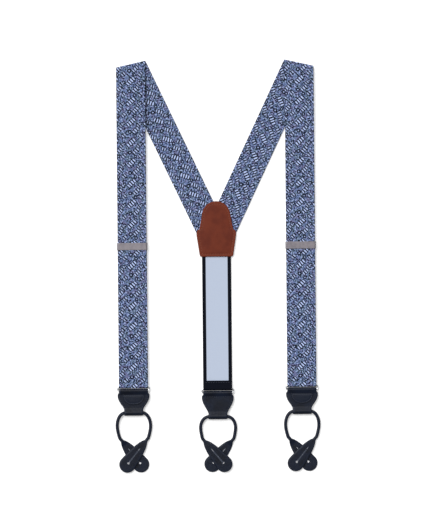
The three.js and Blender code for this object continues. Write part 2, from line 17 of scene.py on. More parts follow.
import bmesh
import bpy
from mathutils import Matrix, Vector


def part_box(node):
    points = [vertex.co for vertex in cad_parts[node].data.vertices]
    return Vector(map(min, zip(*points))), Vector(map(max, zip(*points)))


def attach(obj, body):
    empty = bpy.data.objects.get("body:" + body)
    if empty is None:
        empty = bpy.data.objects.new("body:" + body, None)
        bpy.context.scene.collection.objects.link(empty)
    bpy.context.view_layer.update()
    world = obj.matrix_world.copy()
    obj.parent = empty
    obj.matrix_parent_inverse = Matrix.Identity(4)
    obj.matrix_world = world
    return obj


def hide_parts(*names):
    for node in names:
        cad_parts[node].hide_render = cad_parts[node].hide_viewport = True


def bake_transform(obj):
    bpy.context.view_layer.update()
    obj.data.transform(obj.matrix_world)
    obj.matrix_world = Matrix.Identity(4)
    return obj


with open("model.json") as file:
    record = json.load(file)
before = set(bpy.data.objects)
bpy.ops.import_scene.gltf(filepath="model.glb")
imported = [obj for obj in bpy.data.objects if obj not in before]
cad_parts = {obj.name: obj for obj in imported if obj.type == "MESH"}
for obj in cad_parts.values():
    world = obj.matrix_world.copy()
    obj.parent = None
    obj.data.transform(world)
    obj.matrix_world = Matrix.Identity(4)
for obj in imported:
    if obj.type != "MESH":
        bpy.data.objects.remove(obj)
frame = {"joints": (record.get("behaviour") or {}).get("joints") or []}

LOG = logging.getLogger("braces")
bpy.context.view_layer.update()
MM = 0.001
UP = Vector((0, 0, 1))
ACROSS = Vector((1, 0, 0))
LAY = "lay"  # vertex attribute: place across, place along, distance from the rim
JOINTS = {joint["name"]: joint for joint in frame["joints"]}

Place = Callable[[float, float, float], Vector]
Colour = tuple[float, float, float]


class Side(Enum):
    """The two sides of the braces, by the sign of x."""

    LEFT = -1
    RIGHT = 1

    @property
    def word(self) -> str:
        """The side's name as the frame's nodes spell it."""
        return self.name.lower()


class Face(Enum):
    """Which face of a button fitting is uppermost."""

    TONGUE_UP = 1
    TONGUE_DOWN = -1


def srgb(red: int, green: int, blue: int) -> Colour:
    """Turns a display colour into the linear colour that a shader takes.

    Args:
        red: its red, 0 to 255.
        green: its green.
        blue: its blue.

    Returns:
        The linear colour.
    """

    def linear(value: int) -> float:
        """One channel."""
        share = value / 255
        return share / 12.92 if share <= 0.04045 else ((share + 0.055) / 1.055) ** 2.4

    return linear(red), linear(green), linear(blue)


def pivot(joint: str) -> Vector:
    """A point on a hinge's axis, from the frame."""
    return Vector(JOINTS[joint]["pos_m"])


def corners(node: str) -> tuple[Vector, Vector]:
    """A node's lowest and highest corner at rest."""
    low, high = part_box(node)
    return Vector(low), Vector(high)


# ------------------------------------------------------------------------------ shader maths


class Value:
    """A shader socket that takes part in Python arithmetic."""

    def __init__(self, graph: "Graph", socket: Any) -> None:
        """Wraps a socket of the graph."""
        self.graph = graph
        self.socket = socket

    def __add__(self, other: Any) -> "Value":
        """self + other."""
        return self.graph.math("ADD", self, other)

    def __radd__(self, other: Any) -> "Value":
        """other + self."""
        return self.graph.math("ADD", other, self)

    def __sub__(self, other: Any) -> "Value":
        """self - other."""
        return self.graph.math("SUBTRACT", self, other)

    def __rsub__(self, other: Any) -> "Value":
        """other - self."""
        return self.graph.math("SUBTRACT", other, self)

    def __mul__(self, other: Any) -> "Value":
        """self * other."""
        return self.graph.math("MULTIPLY", self, other)

    def __rmul__(self, other: Any) -> "Value":
        """other * self."""
        return self.graph.math("MULTIPLY", other, self)

    def __truediv__(self, other: Any) -> "Value":
        """self / other."""
        return self.graph.math("DIVIDE", self, other)

    def __abs__(self) -> "Value":
        """The size of self without its sign."""
        return self.graph.math("ABSOLUTE", self)


class Graph:
    """A material's node tree, built from Python expressions."""

    def __init__(self, name: str) -> None:
        """Makes an empty material with a Principled shader.

        Args:
            name: the material's name.
        """
        self.material = bpy.data.materials.new(name)
        self.material.use_nodes = True
        self.tree = self.material.node_tree
        self.shader = self.tree.nodes["Principled BSDF"]

    def node(
        self,
        kind: str,
        inputs: dict[Any, Any] | None = None,
        output: Any = 0,
        **settings: Any,
    ) -> Value:
        """Adds a node, sets it up and links it.

        Args:
            kind: the node's type, such as "ShaderNodeTexNoise".
            inputs: values or links, by socket name or number.
            output: the socket to return, by name or number.
            settings: the node's own properties, such as operation.

        Returns:
            The chosen output, ready for arithmetic.
        """
        made = self.tree.nodes.new(kind)
        for name, setting in settings.items():
            setattr(made, name, setting)
        for key, value in (inputs or {}).items():
            self.feed(made.inputs[key], value)
        return Value(self, made.outputs[output])

    def feed(self, socket: Any, value: Any) -> None:
        """Links a value to a socket, or sets the socket.

        Args:
            socket: the socket.
            value: what it gets: a Value, or a plain number, vector or colour.
        """
        if isinstance(value, Value):
            self.tree.links.new(value.socket, socket)
        elif socket.type == "RGBA" and len(value) == 3:
            socket.default_value = (*value, 1.0)
        else:
            socket.default_value = value

    def math(self, operation: str, *values: Any) -> Value:
        """One Math node on one, two or three values."""
        return self.node("ShaderNodeMath", dict(enumerate(values)), operation=operation)

    def mix(self, factor: Any, first: Any, second: Any) -> Value:
        """Mixes two colours; the factor goes from first to second."""
        inputs = {0: factor, 6: first, 7: second}
        return self.node("ShaderNodeMix", inputs, 2, data_type="RGBA")

    def parts(self, value: Value) -> tuple[Value, Value, Value]:
        """The three numbers of a vector or colour."""
        outputs = self.node("ShaderNodeSeparateXYZ", {0: value}).socket.node.outputs
        return tuple(Value(self, socket) for socket in outputs)

    def join(self, x: Any, y: Any, z: Any = 0.0) -> Value:
        """A vector of three numbers."""
        return self.node("ShaderNodeCombineXYZ", {0: x, 1: y, 2: z})

    def step(self, value: Value, low: float, high: float) -> Value:
        """Rises smoothly from 0 at low to 1 at high; falls if low is the larger."""
        inputs = {"Value": value, "From Min": low, "From Max": high}
        return self.node("ShaderNodeMapRange", inputs, interpolation_type="SMOOTHSTEP")

    def noise(self, place: Value, size: float, detail: float = 2.0, rough: float = 0.5) -> Value:
        """Soft noise from 0 to 1 with features of the given size in metres."""
        inputs = {"Vector": place, "Scale": 1 / size, "Detail": detail, "Roughness": rough}
        return self.node("ShaderNodeTexNoise", inputs, "Fac")

    def lay(self) -> Value:
        """Where a point lies on its strip or leather cut: across, along, and in from the rim."""
        return self.node("ShaderNodeAttribute", output="Vector", attribute_name=LAY)

    def place(self) -> Value:
        """The point's place in its object, in metres."""
        return self.node("ShaderNodeTexCoord", output="Object")

    def bump(self, height: Value, distance: float, strength: float = 1.0) -> Value:
        """A normal bent by a height from 0 to 1 over the given distance in metres."""
        inputs = {"Height": height, "Distance": distance, "Strength": strength}
        return self.node("ShaderNodeBump", inputs, "Normal")

    def finish(self, **sockets: Any) -> bpy.types.Material:
        """Feeds the shader.

        Args:
            sockets: values or links, by socket name with _ for spaces.

        Returns:
            The finished material.
        """
        for name, value in sockets.items():
            self.feed(self.shader.inputs[name.replace("_", " ")], value)
        return self.material


# ------------------------------------------------------------------------------ finishes


@dataclass(frozen=True)
class Figure:
    """A group of leaning strokes, or a curl where it has none, at a place in the print's repeat."""

    x: float
    y: float
    reach: float
    strokes: int = 0
    pitch: float = 3.0 * MM
    glow: float = 1.0


@dataclass(frozen=True)
class FiguredCloth:
    """Fine woven strap cloth with a repeating print of leaning strokes, curls and specks."""

    ground: Colour = srgb(101, 120, 165)
    light: Colour = srgb(184, 201, 244)
    dark: Colour = srgb(1, 4, 19)
    mauve: Colour = srgb(108, 104, 140)
    sage: Colour = srgb(98, 116, 134)
    repeat: tuple[float, float] = (20.5 * MM, 24.6 * MM)
    lean: float = 43.0
    figures: tuple[Figure, ...] = (
        Figure(0.0, 0.0, 2.9 * MM, 4, 3.1 * MM),
        Figure(5.6 * MM, 14.6 * MM, 2.4 * MM, 3, 3.0 * MM, 0.9),
        Figure(-8.8 * MM, 8.6 * MM, 2.2 * MM, 2, 3.0 * MM, 0.8),
        Figure(9.2 * MM, -3.5 * MM, 2.0 * MM, 2, 2.9 * MM, 0.7),
        Figure(-1.6 * MM, 12.6 * MM, 2.3 * MM),
        Figure(-8.6 * MM, -1.4 * MM, 2.0 * MM),
        Figure(4.8 * MM, 7.8 * MM, 1.9 * MM),
    )
    fringe: float = 0.7 * MM
    wobble: float = 1.1 * MM
    drift: float = 5 * MM
    speck: float = 2.9 * MM
    tint: float = 6 * MM
    thread: float = 0.32 * MM
    selvedge: float = 0.9 * MM
    relief: float = 0.12 * MM

    def strokes(self, graph: Graph, figure: Figure, x: Value, y: Value) -> tuple[Value, ...]:
        """One group of strokes, light with a dark gap after each.

        Args:
            graph: the material's graph.
            figure: the group.
            x: the distance across from its middle.
            y: the distance along from its middle.

        Returns:
            Masks of the light, of the dark and of the whole group.
        """
        sine = math.sin(math.radians(self.lean))
        cosine = math.cos(math.radians(self.lean))
        over = x * cosine + y * sine
        stroke = y * cosine - x * sine
        half = figure.strokes * figure.pitch / 2
        taper = figure.reach - abs(over) * (0.25 * figure.reach / half)
        ends = abs(stroke) / taper
        within = graph.step(ends, 1.0, 0.75) * graph.step(abs(over), half, half - 0.2 * MM)
        gaps = graph.step(ends, 1.3, 1.1) * graph.step(abs(over), half + self.fringe, half)
        shift = 0.0 if figure.strokes % 2 else math.pi
        wave = graph.math("COSINE", over * (2 * math.pi / figure.pitch) + shift)
        return graph.step(wave, -0.3, 0.3) * within * figure.glow, gaps, gaps

    def curl(self, graph: Graph, figure: Figure, x: Value, y: Value) -> tuple[Value, ...]:
        """One dark curl round a light heart.

        Args:
            graph: the material's graph.
            figure: the curl.
            x: the distance across from its middle.
            y: the distance along from its middle.

        Returns:
            Masks of the light, of the dark and of the whole curl.
        """
        radius = graph.math("SQRT", x * x + y * y) / figure.reach
        ring = graph.step(abs(radius - 0.75), 0.45, 0.2)
        heart = graph.step(radius, 0.5, 0.2)
        return heart * 0.7, ring, graph.math("MAXIMUM", heart, ring)

    def figured(self, graph: Graph, lay: Value) -> tuple[Value, Value, Value]:
        """Every figure of the repeat.

        Args:
            graph: the material's graph.
            lay: the place on the cloth, in metres.

        Returns:
            Masks of the light strokes, of the dark ones and of the ground that they cover.
        """
        across, down, _ = graph.parts(lay)
        drift = (graph.noise(lay, self.drift, 1.0) - 0.5) * self.wobble
        x, y = across + drift, drift - down
        half_x, half_y = self.repeat[0] / 2, self.repeat[1] / 2
        drawn = []
        for figure in self.figures:
            near_x = graph.math("WRAP", x - figure.x, half_x, -half_x)
            near_y = graph.math("WRAP", y - figure.y, half_y, -half_y)
            draw = self.strokes if figure.strokes else self.curl
            drawn.append(draw(graph, figure, near_x, near_y))
        light, dark, covered = (
            reduce(lambda one, other: graph.math("MAXIMUM", one, other), masks)
            for masks in zip(*drawn)
        )
        return light, dark, covered

    def build(self) -> bpy.types.Material:
        """Makes the cloth's material.

        Returns:
            The material.
        """
        graph = Graph("figured_cloth")
        across, along, rim = graph.parts(graph.lay())
        flat = graph.join(across, along)
        light, dark, covered = self.figured(graph, flat)
        speck = graph.noise(graph.join((across - along) * 1.2, along + across), self.speck, 1.0)
        tint = graph.noise(flat, self.tint, 1.0)
        colour = graph.mix(graph.step(tint, 0.5, 0.62) * 0.7, self.ground, self.mauve)
        colour = graph.mix(graph.step(tint, 0.5, 0.38) * 0.7, colour, self.sage)
        open_ground = 1 - covered
        colour = graph.mix(graph.step(speck, 0.545, 0.575) * open_ground, colour, self.dark)
        colour = graph.mix(graph.step(speck, 0.42, 0.36) * open_ground * 0.7, colour, self.light)
        colour = graph.mix(dark, colour, self.dark)
        colour = graph.mix(light, colour, self.light)
        warp = graph.math("SINE", across * (2 * math.pi / self.thread))
        weft = graph.math("SINE", along * (2 * math.pi / self.thread) + warp * 1.2)
        weave = warp * weft * 0.5 + 0.5
        # painted shade: the cloth is darker in the hollows of the weave, where its bump is lowest
        colour = graph.mix(0.14 * (1 - weave), colour, self.dark)
        woven_edge = graph.step(rim, self.selvedge, 0.3 * self.selvedge)
        colour = graph.mix(woven_edge * 0.35, colour, self.dark)
        height = weave * 0.75 + light * 0.25
        return graph.finish(
            Base_Color=colour,
            Roughness=0.66 + 0.12 * weave,
            Normal=graph.bump(height, self.relief, 0.55),
            Sheen_Weight=0.04,
            Sheen_Roughness=0.4,
            Specular_IOR_Level=0.12,
        )


@dataclass(frozen=True)
class ElasticWeb:
    """Ribbed elastic, pale blue with navy borders; its back and turned-up end are navy."""

    pale: Colour = srgb(192, 203, 222)
    pale_shade: Colour = srgb(60, 66, 92)
    navy: Colour = srgb(9, 13, 25)
    navy_shade: Colour = srgb(3, 4, 10)
    half_face: float = 13.15 * MM
    border_blur: float = 0.2 * MM
    rib: float = 0.75 * MM
    cord: float = 0.9 * MM
    fuzz: float = 0.5 * MM
    relief: float = 0.16 * MM
    navy_all_over: bool = False

    def build(self) -> bpy.types.Material:
        """Makes the elastic's material.

        Returns:
            The material.
        """
        graph = Graph("elastic_reverse" if self.navy_all_over else "elastic_face")
        across, along, _ = graph.parts(graph.lay())
        ribs = graph.math("SINE", along * (2 * math.pi / self.rib)) * 0.5 + 0.5
        cords = graph.math("SINE", across * (2 * math.pi / self.cord)) * 0.5 + 0.5
        fuzz = graph.noise(graph.join(across, along), self.fuzz, 3.0)
        shade = 0.10 * (1 - ribs) + 0.05 * (1 - cords) + 0.10 * fuzz
        colour = graph.mix(shade * 2, self.navy, self.navy_shade)
        if not self.navy_all_over:
            inner, outer = self.half_face - self.border_blur, self.half_face + self.border_blur
            edge = graph.step(abs(across), inner, outer)
            colour = graph.mix(edge, graph.mix(shade, self.pale, self.pale_shade), colour)
        height = ribs * 0.6 + cords * 0.4
        return graph.finish(
            Base_Color=colour,
            Roughness=0.7 + 0.15 * fuzz,
            Normal=graph.bump(height, self.relief, 0.5),
            Specular_IOR_Level=0.08,
        )


@dataclass(frozen=True)
class Hide:
    """Dyed leather with a fine grain, burnished darker along its cut rim."""

    name: str
    dye: Colour
    deep: Colour
    worn: Colour
    gloss: float
    shine: float
    slit_lips: Colour = srgb(80, 86, 100)
    cut: tuple[float, float] = (-1 * MM, -3 * MM)  # rim distances are below zero along a slit
    grain: float = 0.55 * MM
    pore: float = 0.25 * MM
    cloud: float = 11 * MM
    relief: float = 0.07 * MM
    rim: float = 1.1 * MM

    def build(self) -> bpy.types.Material:
        """Makes the leather's material.

        Returns:
            The material.
        """
        graph = Graph(self.name)
        place = graph.place()
        _, _, rim = graph.parts(graph.lay())
        cells = graph.node(
            "ShaderNodeTexVoronoi",
            {"Vector": place, "Scale": 1 / self.grain, "Randomness": 1.0},
            "Distance",
            feature="DISTANCE_TO_EDGE",
        )
        pebble = graph.step(cells, 0.0, 0.35)
        cloud = graph.noise(place, self.cloud, 3.0)
        fine = graph.noise(place, self.pore, 3.0)
        colour = graph.mix(graph.step(cloud, 0.35, 0.7), self.dye, self.deep)
        # painted shade: darker in the creases between the grain's pebbles, where its bump is lowest
        colour = graph.mix(0.28 * (1 - pebble), colour, self.deep)
        rubbed = graph.step(rim, 2.6 * self.rim, 1.3 * self.rim) * graph.step(cloud, 0.3, 0.6)
        colour = graph.mix(0.4 * rubbed, colour, self.worn)
        colour = graph.mix(0.75 * graph.step(rim, self.rim, 0.3 * self.rim), colour, self.deep)
        # lighter along the lips of a slit, where rim distances are below zero
        colour = graph.mix(graph.step(rim, *self.cut), colour, self.slit_lips)
        return graph.finish(
            Base_Color=colour,
            Roughness=self.gloss + 0.12 * cloud - 0.05 * pebble,
            Normal=graph.bump(pebble * 0.7 + fine * 0.3, self.relief, 0.6),
            Specular_IOR_Level=self.shine,
        )


@dataclass(frozen=True)
class Plating:
    """Plated metal, brushed along x, with faint handling marks."""

    name: str
    colour: Colour
    shade: Colour
    roughness: float
    brushing: float
    streak: float = 0.12 * MM
    mark: float = 4 * MM
    relief: float = 0.02 * MM

    def build(self) -> bpy.types.Material:
        """Makes the metal's material.

        Returns:
            The material.
        """
        graph = Graph(self.name)
        place = graph.place()
        x, y, z = graph.parts(place)
        streaks = graph.noise(graph.join(x * 0.04, y, z), self.streak, 2.0)
        marks = graph.noise(place, self.mark, 4.0, 0.6)
        colour = graph.mix(graph.step(marks, 0.4, 0.75), self.colour, self.shade)
        return graph.finish(
            Base_Color=colour,
            Metallic=1.0,
            Roughness=self.roughness + self.brushing * streaks + 0.1 * marks,
            Normal=graph.bump(streaks, self.relief, 0.3 + self.brushing),
        )


@dataclass(frozen=True)
class Thread:
    """Twisted sewing thread."""

    name: str
    colour: Colour
    shade: Colour
    lay_length: float = 0.35 * MM
    relief: float = 0.05 * MM

    def build(self) -> bpy.types.Material:
        """Makes the thread's material.

        Returns:
            The material.
        """
        graph = Graph(self.name)
        x, y, z = graph.parts(graph.place())
        twist = graph.math("SINE", (x + y + z) * (2 * math.pi / self.lay_length)) * 0.5 + 0.5
        return graph.finish(
            Base_Color=graph.mix(0.6 * twist, self.colour, self.shade),
            Roughness=0.55 + 0.1 * twist,
            Normal=graph.bump(twist, self.relief, 0.5),
        )


@dataclass(frozen=True)
class Finishes:
    """Every material of the braces, made once."""

    cloth: bpy.types.Material
    elastic: bpy.types.Material
    elastic_back: bpy.types.Material
    cognac: bpy.types.Material
    navy: bpy.types.Material
    wire: bpy.types.Material
    satin: bpy.types.Material
    brown_thread: bpy.types.Material
    navy_thread: bpy.types.Material

    @staticmethod
    def make() -> "Finishes":
        """Makes the materials.

        Returns:
            The set, for the pieces to wear.
        """
        cognac = Hide(
            "cognac_leather", srgb(108, 46, 27), srgb(94, 38, 24), srgb(128, 62, 40), 0.5, 0.12
        )
        navy = Hide("navy_leather", srgb(17, 25, 42), srgb(9, 14, 26), srgb(36, 44, 62), 0.34, 0.17)
        wire = Plating("nickel_wire", srgb(226, 228, 230), srgb(196, 198, 202), 0.14, 0.05)
        satin = Plating("satin_plate", srgb(132, 127, 132), srgb(118, 114, 120), 0.38, 0.22)
        return Finishes(
            cloth=FiguredCloth().build(),
            elastic=ElasticWeb().build(),
            elastic_back=ElasticWeb(navy_all_over=True).build(),
            cognac=cognac.build(),
            navy=navy.build(),
            wire=wire.build(),
            satin=satin.build(),
            brown_thread=Thread("brown_thread", srgb(140, 76, 54), srgb(88, 42, 30)).build(),
            navy_thread=Thread("navy_thread", srgb(44, 50, 66), srgb(20, 24, 34)).build(),
        )


# ------------------------------------------------------------------------------ mesh making


def make_object(
    name: str,
    points: Sequence[Vector],
    faces: Sequence[Sequence[int]],
    lay: Sequence[tuple[float, float, float]] | None,
    *materials: bpy.types.Material,
    sharp: float = 50.0,
    wears: Sequence[int] | None = None,
) -> bpy.types.Object:
    """Makes a smooth-shaded closed mesh object in the scene.

    Args:
        name: the object's name.
        points: its vertices.
        faces: its faces, as vertex numbers.
        lay: across, along and rim distance of each vertex, if it has them.
        materials: its materials; the first is the one all faces start with.
        sharp: edges that turn by more degrees than this are shaded sharp.
        wears: the material number of each face, if not all the first.

    Returns:
        The object.
    """
    mesh = bpy.data.meshes.new(name)
    mesh.from_pydata([tuple(point) for point in points], [], faces)
    if lay is not None:
        attribute = mesh.attributes.new(LAY, "FLOAT_VECTOR", "POINT")
        attribute.data.foreach_set("vector", [number for spot in lay for number in spot])
    if wears is not None:
        mesh.polygons.foreach_set("material_index", wears)
    shape = bmesh.new()
    shape.from_mesh(mesh)
    bmesh.ops.remove_doubles(shape, verts=shape.verts, dist=0.002 * MM)
    bmesh.ops.dissolve_degenerate(shape, edges=shape.edges, dist=0.001 * MM)
    bmesh.ops.recalc_face_normals(shape, faces=shape.faces)
    shape.to_mesh(mesh)
    shape.free()
    mesh.polygons.foreach_set("use_smooth", [True] * len(mesh.polygons))
    mesh.set_sharp_from_angle(angle=math.radians(sharp))
    for material in materials:
        mesh.materials.append(material)
    made = bpy.data.objects.new(name, mesh)
    bpy.context.scene.collection.objects.link(made)
    return made


class Route:
    """A line through space that a piece is laid along."""

    def __init__(
        self, points: Sequence[Vector], across: Vector | None = None, closed: bool = False
    ) -> None:
        """Measures the line.

        Args:
            points: the line's points.
            across: the piece's width direction; level and square to the line if left out.
            closed: whether the line comes back to its start.
        """
        self.points = list(points)
        self.across = across
        self.stops = [0.0]
        for before, after in zip(self.points, self.points[1:]):
            self.stops.append(self.stops[-1] + (after - before).length)
        self.tangents = []
        last = len(self.points) - 1
        for i in range(last + 1):
            before = self.points[i - 1 if closed else max(i - 1, 0)]
            after = self.points[(i + 1) % (last + 1) if closed else min(i + 1, last)]
            self.tangents.append((after - before).normalized())

    @property
    def length(self) -> float:
        """The line's whole length."""
        return self.stops[-1]

    def axes(self, along: float) -> tuple[Vector, Vector, Vector]:
        """The line's frame at a distance along it.

        Args:
            along: the distance.

        Returns:
            The line's point, its width direction and its outward normal.
        """
        last = len(self.points) - 2
        i = min(max(bisect_right(self.stops, along) - 1, 0), last)
        span = self.stops[i + 1] - self.stops[i]
        share = (along - self.stops[i]) / span if span else 0.0
        centre = self.points[i].lerp(self.points[i + 1], share)
        held = min(max(share, 0.0), 1.0)
        tangent = self.tangents[i].lerp(self.tangents[i + 1], held).normalized()
        across = self.across or UP.cross(tangent).normalized()
        return centre, across, tangent.cross(across).normalized()

    def __call__(self, along: float, over: float, lift: float) -> Vector:
        """The point at a distance along the line, over to the side and lifted off it."""
        centre, across, normal = self.axes(along)
        return centre + across * over + normal * lift


@dataclass
class Row:
    """One cross-section of a strip, all in metres."""

    along: float
    low: float
    high: float
    half: float
    power: float = 60.0
    slit: float = 0.0


@dataclass
class Strip:
    """A closed solid through rows: cloth, leather or wire, flat or round in section."""

    rows: list[Row]
    place: Place
    columns: int = 24
    closed: bool = False
    figure_from: float = 0.0
    under: bpy.types.Material | None = None
    points: list[Vector] = field(default_factory=list)
    lay: list[tuple[float, float, float]] = field(default_factory=list)

    def add(self, row: Row, over: float, lift: float) -> int:
        """Adds a vertex.

        Args:
            row: the cross-section it belongs to.
            over: distance across the strip.
            lift: distance off the strip's middle.

        Returns:
            The vertex's number.
        """
        self.points.append(self.place(row.along, over, lift))
        rim = max(min(over - row.low, row.high - over), 0.0)
        if row.slit and abs(over - (row.low + row.high) / 2) <= row.slit:
            rim = -rim
        self.lay.append((over, row.along + self.figure_from, rim))
        return len(self.points) - 1

    def section(self, row: Row) -> tuple[list[int], list[int]]:
        """Adds a row's vertices; its middle one is there twice, as the two lips of a slit.

        Args:
            row: the cross-section.

        Returns:
            The vertices of the top and of the underside, which share both rims.
        """
        centre = (row.low + row.high) / 2
        reach = (row.high - row.low) / 2 - row.slit
        top: list[int] = []
        under: list[int] = []
        for j in range(self.columns + 1):
            share = math.sin(math.pi * (j / self.columns - 0.5))
            lift = row.half * math.sqrt(max(1 - abs(share) ** row.power, 0.0))
            middle = j == self.columns // 2
            for sign in (-1, 1) if middle and row.slit else (math.copysign(1, share),):
                over = centre + share * reach + sign * row.slit
                top.append(self.add(row, over, lift))
                rim = j in (0, self.columns)
                under.append(top[-1] if rim else self.add(row, over, -lift))
            if middle and not row.slit:
                top.append(top[-1])
                under.append(under[-1])
        return top, under

    def faces(self, tops: list[list[int]], unders: list[list[int]]) -> list[list[int]]:
        """Joins the rows.

        Args:
            tops: each row's vertices over the top.
            unders: each row's vertices over the underside.

        Returns:
            The faces, as vertex numbers.
        """
        middle = self.columns // 2
        spans = [j for j in range(self.columns + 1) if j != middle]
        made: list[list[int]] = []
        last = len(self.rows) - 1
        pairs = [(i, i + 1) for i in range(last)]
        if self.closed:
            pairs.append((last, 0))
        for i, k in pairs:
            for j in spans:
                made.append([tops[i][j], tops[i][j + 1], tops[k][j + 1], tops[k][j]])
                made.append([unders[i][j], unders[k][j], unders[k][j + 1], unders[i][j + 1]])
            if self.rows[i].slit or self.rows[k].slit:
                for j in (middle, middle + 1):
                    made.append([tops[i][j], tops[k][j], unders[k][j], unders[i][j]])
        for i in () if self.closed else (0, last):
            for j in spans:
                made.append([tops[i][j], tops[i][j + 1], unders[i][j + 1], unders[i][j]])
        whole = [list(dict.fromkeys(face)) for face in made]
        return [face for face in whole if len(face) > 2]

    def build(self, name: str, material: bpy.types.Material) -> bpy.types.Object:
        """Makes the strip's object.

        Args:
            name: the object's name.
            material: what it is made of, but for an underside of its own.

        Returns:
            The object, at its place.
        """
        sections = [self.section(row) for row in self.rows]
        unders = [under for _, under in sections]
        faces = self.faces([top for top, _ in sections], unders)
        if self.under is None:
            return make_object(name, self.points, faces, self.lay, material)
        beneath = {corner for under in unders for corner in under[1:-1]}
        wears = [int(any(corner in beneath for corner in face)) for face in faces]
        return make_object(
            name, self.points, faces, self.lay, material, self.under, wears=wears
        )


@dataclass
class LeatherCut:
    """A flat leather piece cut to an outline, with a skived rim and a pressed line inside it."""

    outline: list[Vector]
    heart: Vector
    thick: float
    base: float
    sign: int
    profile: Sequence[tuple[float, float]]
    skive: float = 0.35 * MM

    def spot(self, point: Vector, height: float) -> Vector:
        """The place over a point of the flat outline, at a height above the hidden face."""
        return Vector((point.x, point.y, self.base + self.sign * height))

    def ring(self, inset: float) -> list[Vector]:
        """Draws the outline in towards the heart.

        Args:
            inset: how far in, about the same on every side.

        Returns:
            The drawn-in outline.
        """
        away = [point - self.heart for point in self.outline]
        shrink_x = 1 - inset / max(abs(point.x) for point in away)
        shrink_y = 1 - inset / max(abs(point.y) for point in away)
        return [self.heart + Vector((p.x * shrink_x, p.y * shrink_y)) for p in away]

    def build(self, name: str, material: bpy.types.Material) -> bpy.types.Object:
        """Makes the cut's object.

        Args:
            name: the object's name.
            material: its leather.

        Returns:
            The object, at its place.
        """
        rings = [(self.skive, 0.0), (0.1 * MM, 0.1 * self.thick), (0.0, 0.35 * self.thick)]
        rings += [(inset, self.thick + lift) for inset, lift in self.profile]
        points: list[Vector] = []
        lay: list[tuple[float, float, float]] = []
        for inset, height in rings:
            for flat in self.ring(inset):
                points.append(self.spot(flat, height))
                lay.append((flat.x, flat.y, inset))
        centre = len(points)
        inset, height = rings[-1]
        points.append(self.spot(self.heart, height))
        lay.append((self.heart.x, self.heart.y, inset))
        count = len(self.outline)
        faces: list[list[int]] = [list(range(count))]
        for start in range(0, centre - count, count):
            for j in range(count):
                k = (j + 1) % count
                faces.append([start + j, start + k, start + count + k, start + count + j])
        top = centre - count
        faces += [[top + j, top + (j + 1) % count, centre] for j in range(count)]
        return make_object(name, points, faces, lay, material)


@dataclass
class Seam:
    """A row of stitches lying on a surface."""

    stitch: float = 2.2 * MM
    space: float = 0.8 * MM
    thick: float = 0.24 * MM
    sides: int = 8

    def build(
        self,
        name: str,
        lines: Sequence[Sequence[Vector]],
        material: bpy.types.Material,
        normal: Vector = UP,
    ) -> bpy.types.Object:
        """Sews along each line.

        Args:
            name: the object's name.
            lines: the lines to sew along, each a list of points.
            material: the thread.
            normal: the surface's outward direction.

        Returns:
            One object with every stitch.
        """
        points: list[Vector] = []
        faces: list[list[int]] = []
        for line in lines:
            route = Route(line)
            pitch = self.stitch + self.space
            count = max(int(route.length / pitch), 1)
            slack = (route.length - count * pitch + self.space) / 2
            for number in range(count):
                start = slack + number * pitch
                self.add_stitch(points, faces, route, start, normal)
        return make_object(name, points, faces, None, material, sharp=80)

    def add_stitch(
        self,
        points: list[Vector],
        faces: list[list[int]],
        route: Route,
        start: float,
        normal: Vector,
    ) -> None:
        """Adds one stitch, thin where it dives into the surface.

        Args:
            points: the mesh's vertices, added to.
            faces: the mesh's faces, added to.
            route: the seam's line.
            start: where the stitch starts along the line.
            normal: the surface's outward direction.
        """
        shares = (0.0, 0.12, 0.3, 0.5, 0.7, 0.88, 1.0)
        first = len(points)
        for share in shares:
            swell = math.sqrt(max(1 - (2 * share - 1) ** 4, 0.0)) * self.thick + 0.02 * MM
            centre = route(start + share * self.stitch, 0, 0)
            ahead = route(start + share * self.stitch + 0.1 * MM, 0, 0)
            aside = (ahead - centre).cross(normal).normalized()
            rise = normal * (0.5 * swell)
            for i in range(self.sides):
                turn = 2 * math.pi * i / self.sides
                spot = centre + rise + aside * (swell * math.cos(turn))
                points.append(spot + normal * (0.75 * swell * math.sin(turn)))
        for ring in range(len(shares) - 1):
            for i in range(self.sides):
                a = first + ring * self.sides
                k = (i + 1) % self.sides
                faces.append([a + i, a + k, a + self.sides + k, a + self.sides + i])
        faces.append([first + i for i in range(self.sides)])
        faces.append([len(points) - 1 - i for i in range(self.sides)])


def arc(centre: Vector, radius: float, start: float, end: float, steps: int) -> list[Vector]:
    """Draws an arc in the y-z plane.

    Args:
        centre: its centre.
        radius: its radius.
        start: the first angle, in degrees from +y towards +z.
        end: the last angle.
        steps: how many stretches it has.

    Returns:
        Its points.
    """
    angles = [math.radians(start + (end - start) * i / steps) for i in range(steps + 1)]
    return [centre + Vector((0, radius * math.cos(a), radius * math.sin(a))) for a in angles]


def smooth(points: Sequence[Vector], steps: int = 6) -> list[Vector]:
    """Draws a smooth line through points.

    Args:
        points: the points.
        steps: how many stretches each gap between two of them is cut into.

    Returns:
        The line's points.
    """
    made: list[Vector] = []
    last = len(points) - 1
    for i in range(last):
        a, b = points[max(i - 1, 0)], points[i]
        c, d = points[i + 1], points[min(i + 2, last)]
        for k in range(steps):
            t = k / steps
            made.append(
                0.5 * (2 * b + (c - a) * t + (2 * a - 5 * b + 4 * c - d) * t**2
                       + (3 * b - a - 3 * c + d) * t**3)
            )
    made.append(points[last].copy())
    return made


def spaced(start: float, end: float, step: float) -> list[float]:
    """Even stops from start to end, about a step apart, both ends included."""
    count = max(round(abs(end - start) / step), 1)
    return [start + (end - start) * i / count for i in range(count + 1)]


def dress(piece: bpy.types.Object, slot: str, *nodes: str) -> bpy.types.Object:
    """Hides the nodes that a piece stands for, and reports the piece.

    Args:
        piece: the piece.
        slot: its material slot; not used.
        nodes: the nodes that it stands for.

    Returns:
        The piece.
    """
    if nodes:
        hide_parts(*nodes)
    LOG.info("%s: %d faces", piece.name, len(piece.data.polygons))
    return piece


